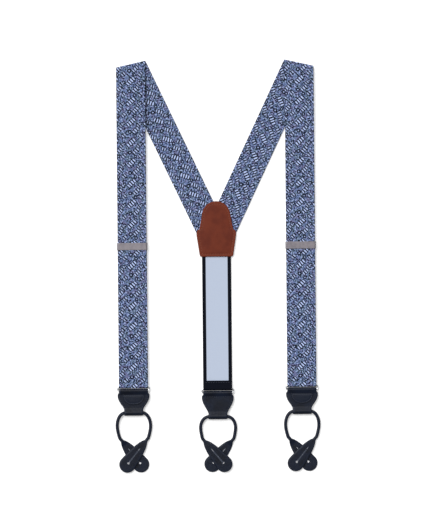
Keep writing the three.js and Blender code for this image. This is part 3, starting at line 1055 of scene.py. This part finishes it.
def curve(points: Sequence[Vector], steps: int = 12) -> list[Vector]:
    """Draws a cubic curve.

    Args:
        points: its start, its two handles and its end.
        steps: how many stretches it has.

    Returns:
        Its points.
    """
    a, b, c, d = points
    made = []
    for i in range(steps + 1):
        t = i / steps
        u = 1 - t
        made.append(a * u**3 + b * (3 * u * u * t) + c * (3 * u * t * t) + d * t**3)
    return made


def rounded(points: Sequence[Vector], reach: float, steps: int = 6) -> list[Vector]:
    """Rounds every corner of a closed outline.

    Args:
        points: the corners.
        reach: how far before each corner its bend starts.
        steps: how many stretches each bend has.

    Returns:
        The outline's points, the same number for each corner.
    """
    made = []
    count = len(points)
    for i, corner in enumerate(points):
        before = corner + (points[i - 1] - corner).normalized() * reach
        after = corner + (points[(i + 1) % count] - corner).normalized() * reach
        for k in range(steps + 1):
            t = k / steps
            made.append(before * (1 - t) ** 2 + corner * (2 * t * (1 - t)) + after * t * t)
    return made


def closed_even(points: Sequence[Vector], step: float) -> list[Vector]:
    """Spaces a closed outline's points evenly.

    Args:
        points: the outline.
        step: about how far apart the new points are.

    Returns:
        The outline again.
    """
    line = [Vector((p.x, p.y, 0)) for p in points]
    route = Route([*line, line[0]], across=UP)
    stops = spaced(0, route.length, step)[:-1]
    return [route(stop, 0, 0).xy for stop in stops]


def between(stops: Sequence[tuple[float, float]], at: float) -> float:
    """Reads a table, straight between its stops.

    Args:
        stops: the table, as (place, value) with places rising.
        at: the place to read.

    Returns:
        The value there.
    """
    places = [place for place, _ in stops]
    i = min(max(bisect_right(places, at) - 1, 0), len(stops) - 2)
    (low, first), (high, second) = stops[i], stops[i + 1]
    share = min(max((at - low) / (high - low), 0.0), 1.0)
    return first + (second - first) * share


def ease(value: float, low: float, high: float) -> float:
    """Rises smoothly from 0 at low to 1 at high."""
    share = min(max((value - low) / (high - low), 0.0), 1.0)
    return share * share * (3 - 2 * share)


# ------------------------------------------------------------------------------ straps


@dataclass
class ShoulderStrap:
    """One side's ribbon: from the patch over the shoulder, down, round the ring and back up."""

    side: Side
    finishes: Finishes
    web: float = 1.0 * MM
    seam: float = 0.02 * MM
    step: float = 2.5 * MM
    fine_step: float = 0.45 * MM
    turn_tail: float = 6 * MM
    end_tab: float = 14 * MM
    bend_margin: float = 0.4 * MM
    puff: float = 0.7 * MM
    puff_from: float = 140 * MM
    puff_length: float = 40 * MM
    puff_stop: float = 4 * MM

    def __post_init__(self) -> None:
        """Reads the strap's places from the frame."""
        word = self.side.word
        sign = self.side.value
        low, high = corners(f"{word}_front_strap")
        self.half_width = (high.x - low.x) / 2
        self.fold = pivot(f"{word}_shoulder_unfold")
        self.rise = (low.z + high.z) / 2 - self.fold.z
        slope = math.asin(abs(JOINTS[f"{word}_shoulder_unfold"]["axis"][1]))
        self.slope = slope
        self.up = Vector((sign * math.sin(2 * slope), math.cos(2 * slope), 0))
        self.over = Vector((self.up.y, -self.up.x, 0))
        self.normal = Vector((sign * math.sin(slope), math.cos(slope), 0))
        outward = Vector((sign * math.cos(slope), -math.sin(slope), 0))
        self.crossing = self.fold - outward * (math.pi * self.rise * math.tan(slope))
        frame_low, frame_high = corners(f"{word}_adjuster_frame")
        self.adjuster_y = (frame_low.y + frame_high.y) / 2
        self.front_length = (
            self.crossing.y + math.pi * self.rise * math.cos(slope) - self.adjuster_y
        )
        self.bar = pivot(f"{word}_ring_swing")
        bar_low, bar_high = corners(f"{word}_strap_end_bar")
        self.end_bar = (bar_low + bar_high) / 2
        self.end_radius = self.end_bar.z - (self.fold.z - self.rise)

    def over_shoulder(self, along: float, over: float, lift: float) -> Vector:
        """The ribbon's way from the patch, through the fold, to the front.

        Args:
            along: distance along the ribbon from the fold line, more towards the front.
            over: distance across it.
            lift: distance off its middle, outward from the fold.

        Returns:
            The point.
        """
        flat = self.up * along + self.over * over
        beyond = flat.dot(self.normal)
        turn = min(max(beyond / self.rise, 0.0), math.pi)
        straight = min(beyond, 0.0) - max(beyond - math.pi * self.rise, 0.0)
        radius = self.rise + lift
        level = flat - self.normal * beyond
        spot = self.crossing + level + self.normal * (straight + radius * math.sin(turn))
        spot.z -= radius * math.cos(turn)
        if turn == math.pi:
            top = self.fold.y - self.puff_stop
            hump = ease(spot.y, self.puff_from, self.puff_from + self.puff_length)
            spot.z += self.puff * hump * (1 - ease(spot.y, top - self.puff_length, top))
        return spot

    def stretch(
        self, name: str, strip: Strip,
        stands_for: Sequence[str],
    ) -> None:
        """Makes one stretch of the ribbon.

        Args:
            name: the stretch's name, without the side.
            strip: its shape.
            stands_for: the side's nodes that it stands for, without the side.
        """
        word = self.side.word
        piece = strip.build(f"{word}_{name}", self.finishes.cloth)
        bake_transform(piece)
        flat = (2 * self.half_width, strip.rows[-1].along - strip.rows[0].along)
        dress(piece, "strap_cloth", *(f"{word}_{node}" for node in stands_for))

    def rows(self, stops: Sequence[float]) -> list[Row]:
        """Full-width cross-sections of the ribbon at the stops."""
        return [Row(stop, -self.half_width, self.half_width, self.web / 2) for stop in stops]

    def upper(self) -> None:
        """Makes the ribbon from under the patch to the adjuster."""
        word = self.side.word
        low, high = corners(f"{word}_back_strap")
        foot_y = low.y + self.half_width * abs(self.up.x)
        foot = (foot_y - self.crossing.y) / self.up.y
        clear = low.x if self.side is Side.RIGHT else high.x
        bend = self.half_width * math.tan(self.slope)
        bend_end = math.pi * self.rise / math.cos(self.slope) + bend
        stops = spaced(foot, -bend, self.step)
        stops += spaced(-bend, bend_end, self.fine_step)[1:]
        stops += spaced(bend_end, self.front_length, self.step)[1:]
        rows = self.rows(stops)
        for row in rows:
            limit = (clear - self.crossing.x - self.up.x * row.along) / self.over.x
            if self.side is Side.RIGHT:
                row.low = max(row.low, limit)
            else:
                row.high = min(row.high, limit)
        reach = self.rise - self.web / 2 - self.bend_margin
        ends = (self.fold - UP * reach, self.fold + UP * reach)
        self.stretch(
            "strap_upper", Strip(rows, self.over_shoulder),
            ("back_strap", "shoulder_fold", "front_strap"),
        )

    def lower(self) -> None:
        """Makes the ribbon from the adjuster down and round the ring."""
        word = self.side.word
        x = self.bar.x
        high = self.bar.z + self.rise
        low = self.bar.z - self.rise
        points = [Vector((x, self.adjuster_y - self.seam, high))]
        points += arc(self.bar, self.rise, 90, 270, 24)
        points += [Vector((x, self.bar.y + self.turn_tail, low))]
        route = Route(points, ACROSS)
        run = self.adjuster_y - self.seam - self.bar.y
        stops = spaced(0, run, self.step)
        stops += spaced(run, route.length, self.fine_step)[1:]
        strip = Strip(self.rows(stops), route, figure_from=self.front_length)
        ends = (
            Vector((x, self.adjuster_y, high)), Vector((x, self.bar.y + self.turn_tail, high))
        )
        self.stretch(
            "strap_lower", strip,
            ("front_strap_lower", "ring_turn"),
        )

    def end(self) -> None:
        """Makes the ribbon's return run and the end looped round the adjuster's bar."""
        word = self.side.word
        x = self.bar.x
        low = self.bar.z - self.rise
        first = Vector((x, self.bar.y + self.turn_tail + self.seam, low))
        points = [first, *arc(self.end_bar, self.end_radius, -90, 90, 20)]
        points += [points[-1] - Vector((0, self.end_tab, 0))]
        route = Route(points, ACROSS)
        run = self.end_bar.y - first.y
        turned = run + math.pi * self.end_radius
        stops = spaced(0, run, self.step)
        stops += spaced(run, turned, self.fine_step)[1:]
        stops += spaced(turned, route.length, self.step)[1:]
        figure_from = self.front_length + self.adjuster_y - self.bar.y
        strip = Strip(self.rows(stops), route, figure_from=figure_from)
        ends = (first, Vector((x, self.end_bar.y - self.end_tab, low)))
        self.stretch(
            "strap_end", strip,
            ("strap_return", "strap_end_loop"),
        )

    def build(self) -> None:
        """Makes the whole ribbon."""
        self.upper()
        self.lower()
        self.end()


@dataclass
class BackElastic:
    """The elastic from the patch to the back ring, its end turned up over the bar."""

    finishes: Finishes
    web: float = 1.0 * MM
    step: float = 3 * MM
    fine_step: float = 0.4 * MM
    hem: float = 9.5 * MM
    settle: float = 6 * MM
    gap: float = 0.3 * MM
    seam_inset: float = 2.2 * MM
    seam_margin: float = 1.5 * MM

    def build(self) -> None:
        """Makes the elastic and the stitches across its hem."""
        low, high = corners("elastic")
        bar = pivot("back_ring_swing")
        level = (low.z + high.z) / 2
        radius = bar.z - level
        hem_z = level + self.web + self.gap
        down = [
            Vector((0, self.settle * share, radius + (hem_z - bar.z - radius) * ease(share, 0, 1)))
            for share in (0.2, 0.4, 0.6, 0.8, 1.0)
        ]
        points = [Vector((bar.x, high.y, level)), *arc(bar, radius, 270, 90, 24)]
        points += [bar + spot for spot in down]
        points += [Vector((bar.x, bar.y + self.hem, hem_z))]
        route = Route(points, ACROSS)
        run = high.y - bar.y
        stops = spaced(0, run, self.step)
        stops += spaced(run, route.length, self.fine_step)[1:]
        half_width = (high.x - low.x) / 2
        rows = [Row(along, -half_width, half_width, self.web / 2) for along in stops]
        strip = Strip(rows, route, under=self.finishes.elastic_back)
        piece = strip.build("elastic_web", self.finishes.elastic)
        end = (bar.x, bar.y + self.hem, level)
        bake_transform(piece)
        dress(piece, "elastic_web", "elastic", "elastic_end")
        top = hem_z + self.web / 2
        y = bar.y + self.hem - self.seam_inset
        reach = half_width - self.seam_margin
        ends = [Vector((sign * reach, y, top)) for sign in (-1, 1)]
        stitches = Seam().build("elastic_hem_stitches", [ends], self.finishes.navy_thread)
        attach(stitches, "back_end")
        dress(stitches, "elastic_web")


# ------------------------------------------------------------------------------ back patch


@dataclass
class BackPatch:
    """Two leather shields, one over and one under the crossing, sewn together round the edge."""

    finishes: Finishes
    dome_radius: float = 17 * MM
    flare: float = 17.0
    wide_rise: float = 28 * MM
    foot_half: float = 20 * MM
    corner: float = 2.5 * MM
    even: float = 1.2 * MM
    seam_inset: float = 3.2 * MM
    seam_sink: float = 0.2 * MM
    profile: tuple[tuple[float, float], ...] = (
        (0.12 * MM, -0.3 * MM), (0.4 * MM, -0.08 * MM), (0.9 * MM, 0.0), (2.3 * MM, 0.02 * MM),
        (2.8 * MM, -0.06 * MM), (3.2 * MM, -0.2 * MM), (3.6 * MM, -0.06 * MM),
        (4.2 * MM, 0.05 * MM), (6.0 * MM, 0.12 * MM), (10.0 * MM, 0.2 * MM),
        (16.0 * MM, 0.26 * MM),
    )

    def outline(self) -> list[Vector]:
        """Draws the shield, anticlockwise from its foot.

        Returns:
            Its outline.
        """
        low, high = corners("patch_outer")
        dome = Vector((0, high.y - self.dome_radius))
        flare = math.radians(self.flare)
        angles = [flare + (math.pi - 2 * flare) * i / 24 for i in range(25)]
        top = [dome + Vector((math.cos(a), math.sin(a))) * self.dome_radius for a in angles]
        lean = Vector((math.tan(flare), -1)).normalized() * (2 * self.corner)
        wide_y = low.y + self.wide_rise
        right = [
            Vector((self.foot_half, low.y)), Vector((high.x, wide_y)),
            Vector((high.x - lean.x, wide_y - lean.y)),
        ]
        left = [Vector((-p.x, p.y)) for p in right]
        steps = 6
        bent = rounded([left[0], *right, *reversed(left[1:])], self.corner * 0.9, steps)
        before_top = 4 * (steps + 1)
        return [*bent[:before_top], *top, *bent[before_top:]]

    def build(self) -> None:
        """Makes both shields, and the stitches on the outer one."""
        outline = closed_even(self.outline(), self.even)
        for name, sign in (("patch_outer", 1), ("patch_inner", -1)):
            low, high = corners(name)
            heart = Vector((0, (low.y + high.y) / 2))
            base = low.z if sign > 0 else high.z
            profile = self.profile
            if sign < 0:
                profile = [(inset, min(lift, 0.0)) for inset, lift in profile]
            cut = LeatherCut(outline, heart, high.z - low.z, base, sign, profile)
            piece = cut.build(f"{name}_leather", self.finishes.cognac)
            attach(piece, "back")
            dress(piece, "patch_leather", name)
            if sign > 0:
                self.sew(cut)

    def sew(self, cut: LeatherCut) -> None:
        """Makes the stitches round a shield's edge.

        Args:
            cut: the shield.
        """
        ring = cut.ring(self.seam_inset)
        line = [cut.spot(p, cut.thick - self.seam_sink) for p in (*ring, ring[0])]
        seam = Seam(stitch=2.4 * MM, space=0.7 * MM)
        stitches = seam.build("patch_outer_stitches", [line], self.finishes.brown_thread)
        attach(stitches, "back")
        dress(stitches, "patch_leather")


# ------------------------------------------------------------------------------ adjusters


@dataclass
class Adjuster:
    """A metal channel over the strap with a cam lever behind it."""

    side: Side
    finishes: Finishes
    sheet: float = 0.5 * MM
    bend: float = 1.1 * MM
    step: float = 0.4 * MM
    taper: float = 2.2 * MM

    def build(self) -> None:
        """Makes the channel and finishes its lever, pin and bar."""
        word = self.side.word
        low, high = corners(f"{word}_adjuster_frame")
        half = (high.y - low.y) / 2
        y = (low.y + high.y) / 2
        out = self.sheet / 2
        left, right, top = low.x + out, high.x - out, high.z - out
        ends = [Vector((left, y, low.z)), Vector((right, y, low.z))]
        shape = [ends[0], Vector((left, y, top)), Vector((right, y, top)), ends[1]]
        per_bend = 9
        bends = rounded(shape, self.bend, per_bend - 1)[per_bend:-per_bend]
        route = Route([ends[0], *bends, ends[1]], Vector((0, 1, 0)))
        rows = []
        for along in spaced(0, route.length, self.step):
            from_end = min(along, route.length - along)
            reach = half * (0.75 + 0.25 * ease(from_end, 0, self.taper))
            rows.append(Row(along, -reach, reach, out, 40.0))
        piece = Strip(rows, route).build(f"{word}_adjuster_channel", self.finishes.satin)
        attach(piece, f"{word}_adjuster")
        dress(piece, "adjuster_steel", f"{word}_adjuster_frame")
        for name in ("adjuster_lever", "lever_pin", "strap_end_bar"):
            node = bpy.data.objects[f"{word}_{name}"]
            node.data.materials.clear()
            node.data.materials.append(self.finishes.satin)


# ------------------------------------------------------------------------------ button fittings


@dataclass
class ButtonFitting:
    """A wire ring, a folded leather crown, and a rolled loop ending in two keyholed leaves."""

    name: str
    finishes: Finishes
    face: Face
    upper_root: Side
    wire: float = 1.1 * MM
    ring_corner: float = 2.4 * MM
    leather: float = 1.3 * MM
    pinch: float = 0.15 * MM
    crown_bar: float = 2.05 * MM
    crown_tunnel: float = 2.95 * MM
    cord: float = 2.0 * MM
    clearance: float = 0.15 * MM
    loop_half_width: float = 20 * MM
    tunnel_half: float = 11.4 * MM
    cord_stop: float = 2.5 * MM
    leaf_half: float = 1.0 * MM
    leaf_length: float = 36 * MM
    leaf_end: float = 9.9 * MM
    tip_round: float = 0.8 * MM
    hole: float = 1.2 * MM
    hole_at: float = 34.2 * MM
    slit: float = 0.22 * MM
    slit_length: float = 23 * MM
    slit_taper: float = 2 * MM
    least: float = 0.02 * MM
    least_step: float = 0.06 * MM
    seam_inset: float = 1.9 * MM
    seam_from: float = 5.2 * MM
    seam_stop: float = 6.4 * MM
    seam_across: float = 4.6 * MM
    tongue_inset: float = 1.5 * MM
    tongue_sink: float = 0.14 * MM
    tongue_gap: float = 0.03 * MM

    def __post_init__(self) -> None:
        """Reads the fitting's places from the frame."""
        self.bar = pivot(f"{self.name}_crown_swing")
        self.tunnel = pivot(f"{self.name}_loop_swing")
        self.length = self.bar.y - self.tunnel.y
        self.cord_z = self.cord + self.clearance

    def ring(self) -> None:
        """Makes the wire ring."""
        low, high = corners(f"{self.name}_ring")
        wire = self.wire
        square = [
            Vector((low.x + wire, low.y + wire)), Vector((high.x - wire, low.y + wire)),
            Vector((high.x - wire, high.y - wire)), Vector((low.x + wire, high.y - wire)),
        ]
        flat = rounded(square, self.ring_corner, 10)
        middle = (flat[-1] + flat[0]) / 2
        line = [Vector((p.x, p.y, self.bar.z)) for p in (middle, *flat, middle)]
        route = Route(line, closed=True)
        stops = spaced(0, route.length, 0.6 * MM)[:-1]
        rows = [Row(along, -wire, wire, wire, 2.0) for along in stops]
        piece = Strip(rows, route, 12, closed=True).build(
            f"{self.name}_wire_ring", self.finishes.wire
        )
        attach(piece, f"{self.name}_ring")
        dress(piece, "ring_steel", f"{self.name}_ring")

    def crown_half_width(self) -> list[tuple[float, float]]:
        """Tabulates the crown's half width.

        Returns:
            It by distance from the ring bar, tunnel end first.
        """
        waist = 5.5 - self.length / MM
        flank = curve(
            [Vector((19.2, -7.0)), Vector((18.2, -13.5)), Vector((13.5, waist + 3.5)),
             Vector((12.0, waist))]
        )
        stops = [(5.0, 17.5), (-2.0, 17.5), (-4.0, 19.2)]
        stops += [(spot.y, spot.x) for spot in flank]
        stops += [(waist - 1.5, 11.4), (-40.0, 11.4)]
        return [(y * MM, half * MM) for y, half in reversed(stops)]

    def crown_side(self, sign: int) -> Route:
        """One half of the crown's leather, from the ring bar to the far side of the tunnel.

        Args:
            sign: 1 for the half above the ring bar, -1 for the half below it.

        Returns:
            The line through the middle of the leather.
        """
        flat = self.pinch + self.leather / 2
        trim = math.degrees(math.asin(self.pinch / self.crown_bar))
        end_trim = math.degrees(math.asin(self.pinch / self.crown_tunnel))
        over_bar = arc(Vector((0, 0, 0)), self.crown_bar, trim, 100, 16)
        run = [
            Vector((0, -self.crown_bar - 1.6 * MM, flat + 0.2 * MM)),
            Vector((0, -self.crown_bar - 3.2 * MM, flat)),
            Vector((0, -self.length * 0.5, flat)),
            Vector((0, -self.length + self.crown_tunnel + 3.4 * MM, flat)),
            Vector((0, -self.length + self.crown_tunnel + 1.8 * MM, flat + 0.3 * MM)),
        ]
        end = Vector((0, -self.length, 0))
        over_cord = arc(end, self.crown_tunnel, 70, 180 - end_trim, 16)
        middle = smooth([over_bar[-1], *run, over_cord[0]], 5)
        points = [*over_bar, *middle[1:-1], *over_cord]
        placed = [Vector((self.bar.x, self.bar.y + p.y, self.bar.z + sign * p.z)) for p in points]
        return Route(placed, ACROSS * sign)

    def crown(self) -> None:
        """Makes both halves of the crown, its tongue and its stitching."""
        widths = self.crown_half_width()
        for name, sign in (("outer", self.face.value), ("inner", -self.face.value)):
            route = self.crown_side(sign)
            rows = []
            for along in spaced(0, route.length, 0.5 * MM):
                half = between(widths, route.axes(along)[0].y - self.bar.y)
                rows.append(Row(along, -half, half, self.leather / 2, 18.0))
            piece = Strip(rows, route, 28).build(
                f"{self.name}_crown_{name}_leather", self.finishes.navy
            )
            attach(piece, f"{self.name}_crown")
            dress(piece, "navy_leather", f"{self.name}_crown_{name}")
            self.crown_seams(name, sign, widths)
        self.tongue()

    def crown_seams(self, name: str, sign: int, widths: list[tuple[float, float]]) -> None:
        """Sews along both flanks of one face of the crown, and across the inner one's top.

        Args:
            name: which face, outer or inner.
            sign: 1 for the face on top, -1 for the one beneath.
            widths: the crown's half width by distance from the ring bar.
        """
        height = self.bar.z + sign * (self.pinch + self.leather)
        down = spaced(-self.seam_from, -self.length + self.seam_stop, 0.8 * MM)
        lines = []
        for edge in (-1, 1):
            flank = [(edge * (between(widths, y) - self.seam_inset), y) for y in down]
            lines.append([Vector((self.bar.x + x, self.bar.y + y, height)) for x, y in flank])
        if name == "inner":
            reach = between(widths, -self.seam_across) - self.seam_inset
            y = self.bar.y - self.seam_across
            lines.append([Vector((self.bar.x + edge * reach, y, height)) for edge in (-1, 1)])
        piece = Seam(stitch=1.9 * MM).build(
            f"{self.name}_crown_{name}_stitches", lines, self.finishes.navy_thread, UP * sign
        )
        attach(piece, f"{self.name}_crown")
        dress(piece, "navy_leather")

    def tongue(self) -> None:
        """Makes the round-ended tongue on the crown's outer face, with its stitches."""
        low, high = corners(f"{self.name}_crown_tongue")
        half = (high.x - low.x) / 2
        length = high.y - low.y
        sign = self.face.value
        base = self.bar.z + sign * (self.pinch + self.leather + self.tongue_gap)
        thick = high.z - low.z
        left = curve(
            [Vector((-half, 0)), Vector((-half, -0.7 * length)),
             Vector((-0.55 * half, -length)), Vector((0, -length))]
        )
        right = [Vector((-p.x, p.y)) for p in reversed(left[:-1])]
        heart = Vector((self.bar.x, high.y - 0.45 * length))
        outline = [Vector((self.bar.x + p.x, high.y + p.y)) for p in (*left, *right)]
        outline = closed_even(outline, 0.7 * MM)
        profile = [
            (0.1 * MM, -0.25 * MM), (0.35 * MM, -0.06 * MM), (0.7 * MM, 0.0),
            (1.1 * MM, -0.02 * MM), (1.5 * MM, -0.14 * MM), (1.9 * MM, -0.02 * MM),
            (3.0 * MM, 0.06 * MM), (5.0 * MM, 0.1 * MM),
        ]
        cut = LeatherCut(outline, heart, thick, base, sign, profile)
        piece = cut.build(f"{self.name}_tongue_leather", self.finishes.navy)
        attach(piece, f"{self.name}_crown")
        dress(piece, "navy_leather", f"{self.name}_crown_tongue")
        ring = cut.ring(self.tongue_inset)
        line = [cut.spot(p, thick - self.tongue_sink) for p in (*ring, ring[0])]
        stitches = Seam(stitch=1.7 * MM, space=0.6 * MM).build(
            f"{self.name}_tongue_stitches", [line], self.finishes.navy_thread, UP * sign
        )
        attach(stitches, f"{self.name}_crown")
        dress(stitches, "navy_leather")

    def leaf_widths(self) -> list[tuple[float, float]]:
        """Tabulates the leaf's half width.

        Returns:
            It by distance from the leaf's root.
        """
        shoulder = math.radians(97)
        end, length = self.leaf_end, self.leaf_length
        flank = curve(
            [Vector((0, self.cord)), Vector((0.15 * length, 0.68 * end)),
             Vector((0.6 * length, 0.86 * end)),
             Vector((length + end * math.cos(shoulder), end * math.sin(shoulder)))],
            20,
        )
        stops = [(-1.0, self.cord)] + [(spot.x, spot.y) for spot in flank]
        for i in range(1, 25):
            angle = shoulder * (1 - i / 24)
            stops.append((length + end * math.cos(angle), end * math.sin(angle)))
        return stops

    def slit_at(self, out: float) -> float:
        """Measures the keyhole.

        Args:
            out: a distance from the leaf's root.

        Returns:
            Half the keyhole's opening there.
        """
        into = out - self.hole_at + self.slit_length
        if into <= self.least:
            return 0.0
        from_hole = abs(out - self.hole_at)
        bore = math.sqrt(self.hole**2 - from_hole**2) if from_hole < self.hole else 0.0
        return max(bore, self.slit * min(into / self.slit_taper, 1.0) if out < self.hole_at else 0.0)

    def cord_line(self, side: int, root: Vector, axis: Vector) -> list[Vector]:
        """Draws half of the cord's way, out of the tunnel and down to its leaf.

        Args:
            side: the side that it leaves the tunnel on, 1 for the right.
            root: where the leaf starts.
            axis: the leaf's direction.

        Returns:
            Its points, from the tunnel's middle.
        """
        stop = root.xy - axis * self.cord_stop
        wide = self.loop_half_width
        deep = self.tunnel.y - root.y
        end_x = abs(stop.x - self.tunnel.x)
        end_y = stop.y - self.tunnel.y
        bends = [
            (5 * MM, 0.0, 0.0), (self.tunnel_half, -0.1 * MM, 0.0),
            (0.79 * wide, -0.08 * deep, 0.1), (0.935 * wide, -0.22 * deep, 0.25),
            (wide, -0.4 * deep, 0.45), (0.985 * wide, -0.6 * deep, 0.7),
            (0.4 * wide + 0.6 * end_x, 0.5 * end_y - 0.4 * deep, 0.9), (end_x, end_y, 1.0),
        ]
        drop = self.tunnel.z - self.cord_z
        points = [self.tunnel + Vector((side * 0.01 * MM, 0, 0))]
        points += [self.tunnel + Vector((side * x, y, -fall * drop)) for x, y, fall in bends]
        return smooth(points, 8)

    def leaf_stops(self, widths: list[tuple[float, float]]) -> list[float]:
        """Places cross-sections along a leaf, closer together at its tip and its hole.

        Args:
            widths: the leaf's half width by distance from its root.

        Returns:
            Their distances from the root.
        """
        outs = spaced(-self.cord_stop, self.leaf_length + self.leaf_end, 1 * MM)
        outs += [place for place, _ in widths if place > 0]
        outs += [self.hole_at - self.slit_length + step * 0.5 * MM for step in range(5)]
        mouth = self.hole_at - math.sqrt(self.hole**2 - self.slit**2)
        outs += [mouth + (self.hole_at + self.hole - mouth) * i / 12 for i in range(13)]
        stops: list[float] = []
        for out in sorted({round(out, 6) for out in outs}):
            if not stops or out - stops[-1] >= self.least_step:
                stops.append(out)
        return stops

    def leaf_row(self, along: float, out: float, widths: list[tuple[float, float]]) -> Row:
        """Shapes a leaf's cross-section, round at the cord and flat further out.

        Args:
            along: its distance along the piece.
            out: its distance from the leaf's root.
            widths: the leaf's half width by distance from its root.

        Returns:
            The cross-section.
        """
        flatten = ease(out, -self.cord_stop, 6 * MM)
        half = self.cord + (self.leaf_half - self.cord) * flatten
        from_tip = max(self.leaf_length + self.leaf_end - out, 0.0)
        if from_tip < self.tip_round:
            half *= math.sqrt(1 - (1 - from_tip / self.tip_round) ** 2) * 0.9 + 0.1
        reach = max(between(widths, out), self.least)
        return Row(along, -reach, reach, half, 2 + 10 * flatten, self.slit_at(out))

    def loop_half(self, level: int) -> None:
        """Makes half of the rolled loop with the leaf that it flattens into.

        Args:
            level: 1 for the leaf that lies on top, -1 for the one beneath.
        """
        which = "upper_leaf" if level > 0 else "lower_leaf"
        side = level * self.upper_root.value
        low, high = corners(f"{self.name}_{which}")
        root = pivot(f"{self.name}_{which}_spread")
        root.z = (low.z + high.z) / 2
        tip_x = low.x if side > 0 else high.x
        lobe = Vector((tip_x + side * self.leaf_end, low.y + self.leaf_end))
        axis = (lobe - root.xy).normalized()
        line = self.cord_line(side, root, axis)
        cord_length = Route(line).length
        far = self.leaf_length + self.leaf_end
        for out in spaced(-self.cord_stop, far, 1 * MM)[1:]:
            rise = (root.z - self.cord_z) * ease(out, -self.cord_stop, 7 * MM)
            line.append(Vector((*(root.xy + axis * out), self.cord_z + rise)))
        route = Route(line)
        rows = [
            Row(along, -self.cord, self.cord, self.cord, 2.0)
            for along in spaced(0, cord_length, 1.2 * MM)[:-1]
        ]
        base = cord_length + self.cord_stop
        widths = self.leaf_widths()
        for out in self.leaf_stops(widths):
            along = base + ((route.length - base) * out / far if out > 0 else out)
            rows.append(self.leaf_row(along, out, widths))
        piece = Strip(rows, route).build(f"{self.name}_{which}_leather", self.finishes.navy)
        reach = Vector((*axis, 0)) * self.cord_stop
        start, end = root - reach, root + reach
        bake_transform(piece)
        cord = [f"{self.name}_loop_cord"] if level > 0 else []
        dress(piece, "navy_leather", f"{self.name}_{which}", *cord)

    def build(self) -> None:
        """Makes the whole fitting."""
        self.ring()
        self.crown()
        self.loop_half(1)
        self.loop_half(-1)


# ------------------------------------------------------------------------------ studio


@dataclass
class Studio:
    """A white table top, soft light and a camera straight above."""

    height: float = 3.0
    seen_height: float = 0.6421
    aim: tuple[float, float] = (0.0017, 0.0001)
    roll: float = -0.0093
    sensor: float = 36
    half_table: float = 3.0
    table_z: float = -0.2 * MM
    cloud: float = 0.4
    whites: tuple[float, float] = (0.93, 0.95)
    glow: float = 0.3
    key: float = 3.1
    key_angle: float = 55.0
    key_from: tuple[float, float, float] = (-0.7, 0.9, 1.7)
    fill: float = 0.3

    def build(self) -> None:
        """Makes the table, the lights and the camera."""
        self.add_table()
        self.add_lights()
        self.add_camera()

    def add_table(self) -> None:
        """Makes the table top."""
        half = self.half_table
        flat = ((-half, -half), (half, -half), (half, half), (-half, half))
        graph = Graph("white_table")
        cloud = graph.noise(graph.place(), self.cloud, 2.0)
        white = graph.finish(
            Base_Color=graph.mix(cloud, *((white,) * 3 for white in self.whites)),
            Roughness=0.9,
            Emission_Color=(1.0, 1.0, 1.0),
            Emission_Strength=self.glow,
        )
        spots = [Vector((x, y, self.table_z)) for x, y in flat]
        make_object("table_top", spots, [[0, 1, 2, 3]], None, white)

    def add_lights(self) -> None:
        """Makes an even white room and a broad lamp from the upper left."""
        world = bpy.data.worlds.new("soft_room")
        world.use_nodes = True
        sky = world.node_tree.nodes["Background"]
        sky.inputs["Color"].default_value = (1, 1, 1, 1)
        sky.inputs["Strength"].default_value = self.fill
        bpy.context.scene.world = world
        key = bpy.data.lights.new("key", "SUN")
        key.energy = self.key
        key.angle = math.radians(self.key_angle)
        lamp = bpy.data.objects.new("key", key)
        lamp.location = self.key_from
        lamp.rotation_euler = (-Vector(self.key_from)).to_track_quat("-Z", "Y").to_euler()
        bpy.context.scene.collection.objects.link(lamp)

    def add_camera(self) -> None:
        """Makes the camera, with colours shown as they are."""
        camera = bpy.data.cameras.new("camera")
        camera.sensor_width = self.sensor
        camera.lens = self.sensor * self.height / self.seen_height
        eye = bpy.data.objects.new("camera", camera)
        eye.location = (*self.aim, self.height)
        eye.rotation_euler = (0, 0, self.roll)
        bpy.context.scene.collection.objects.link(eye)
        bpy.context.scene.camera = eye
        bpy.context.scene.view_settings.view_transform = "Standard"


def main() -> None:
    """Builds the braces and the studio round them."""
    logging.basicConfig(level=logging.INFO, format="%(message)s")
    Studio().build()
    finishes = Finishes.make()
    for side in Side:
        ShoulderStrap(side, finishes).build()
        Adjuster(side, finishes).build()
        ButtonFitting(side.word, finishes, Face.TONGUE_UP, Side.RIGHT).build()
    BackElastic(finishes).build()
    BackPatch(finishes).build()
    ButtonFitting("back", finishes, Face.TONGUE_DOWN, Side.LEFT, loop_half_width=21 * MM).build()


if __name__ == "__main__":
    main()
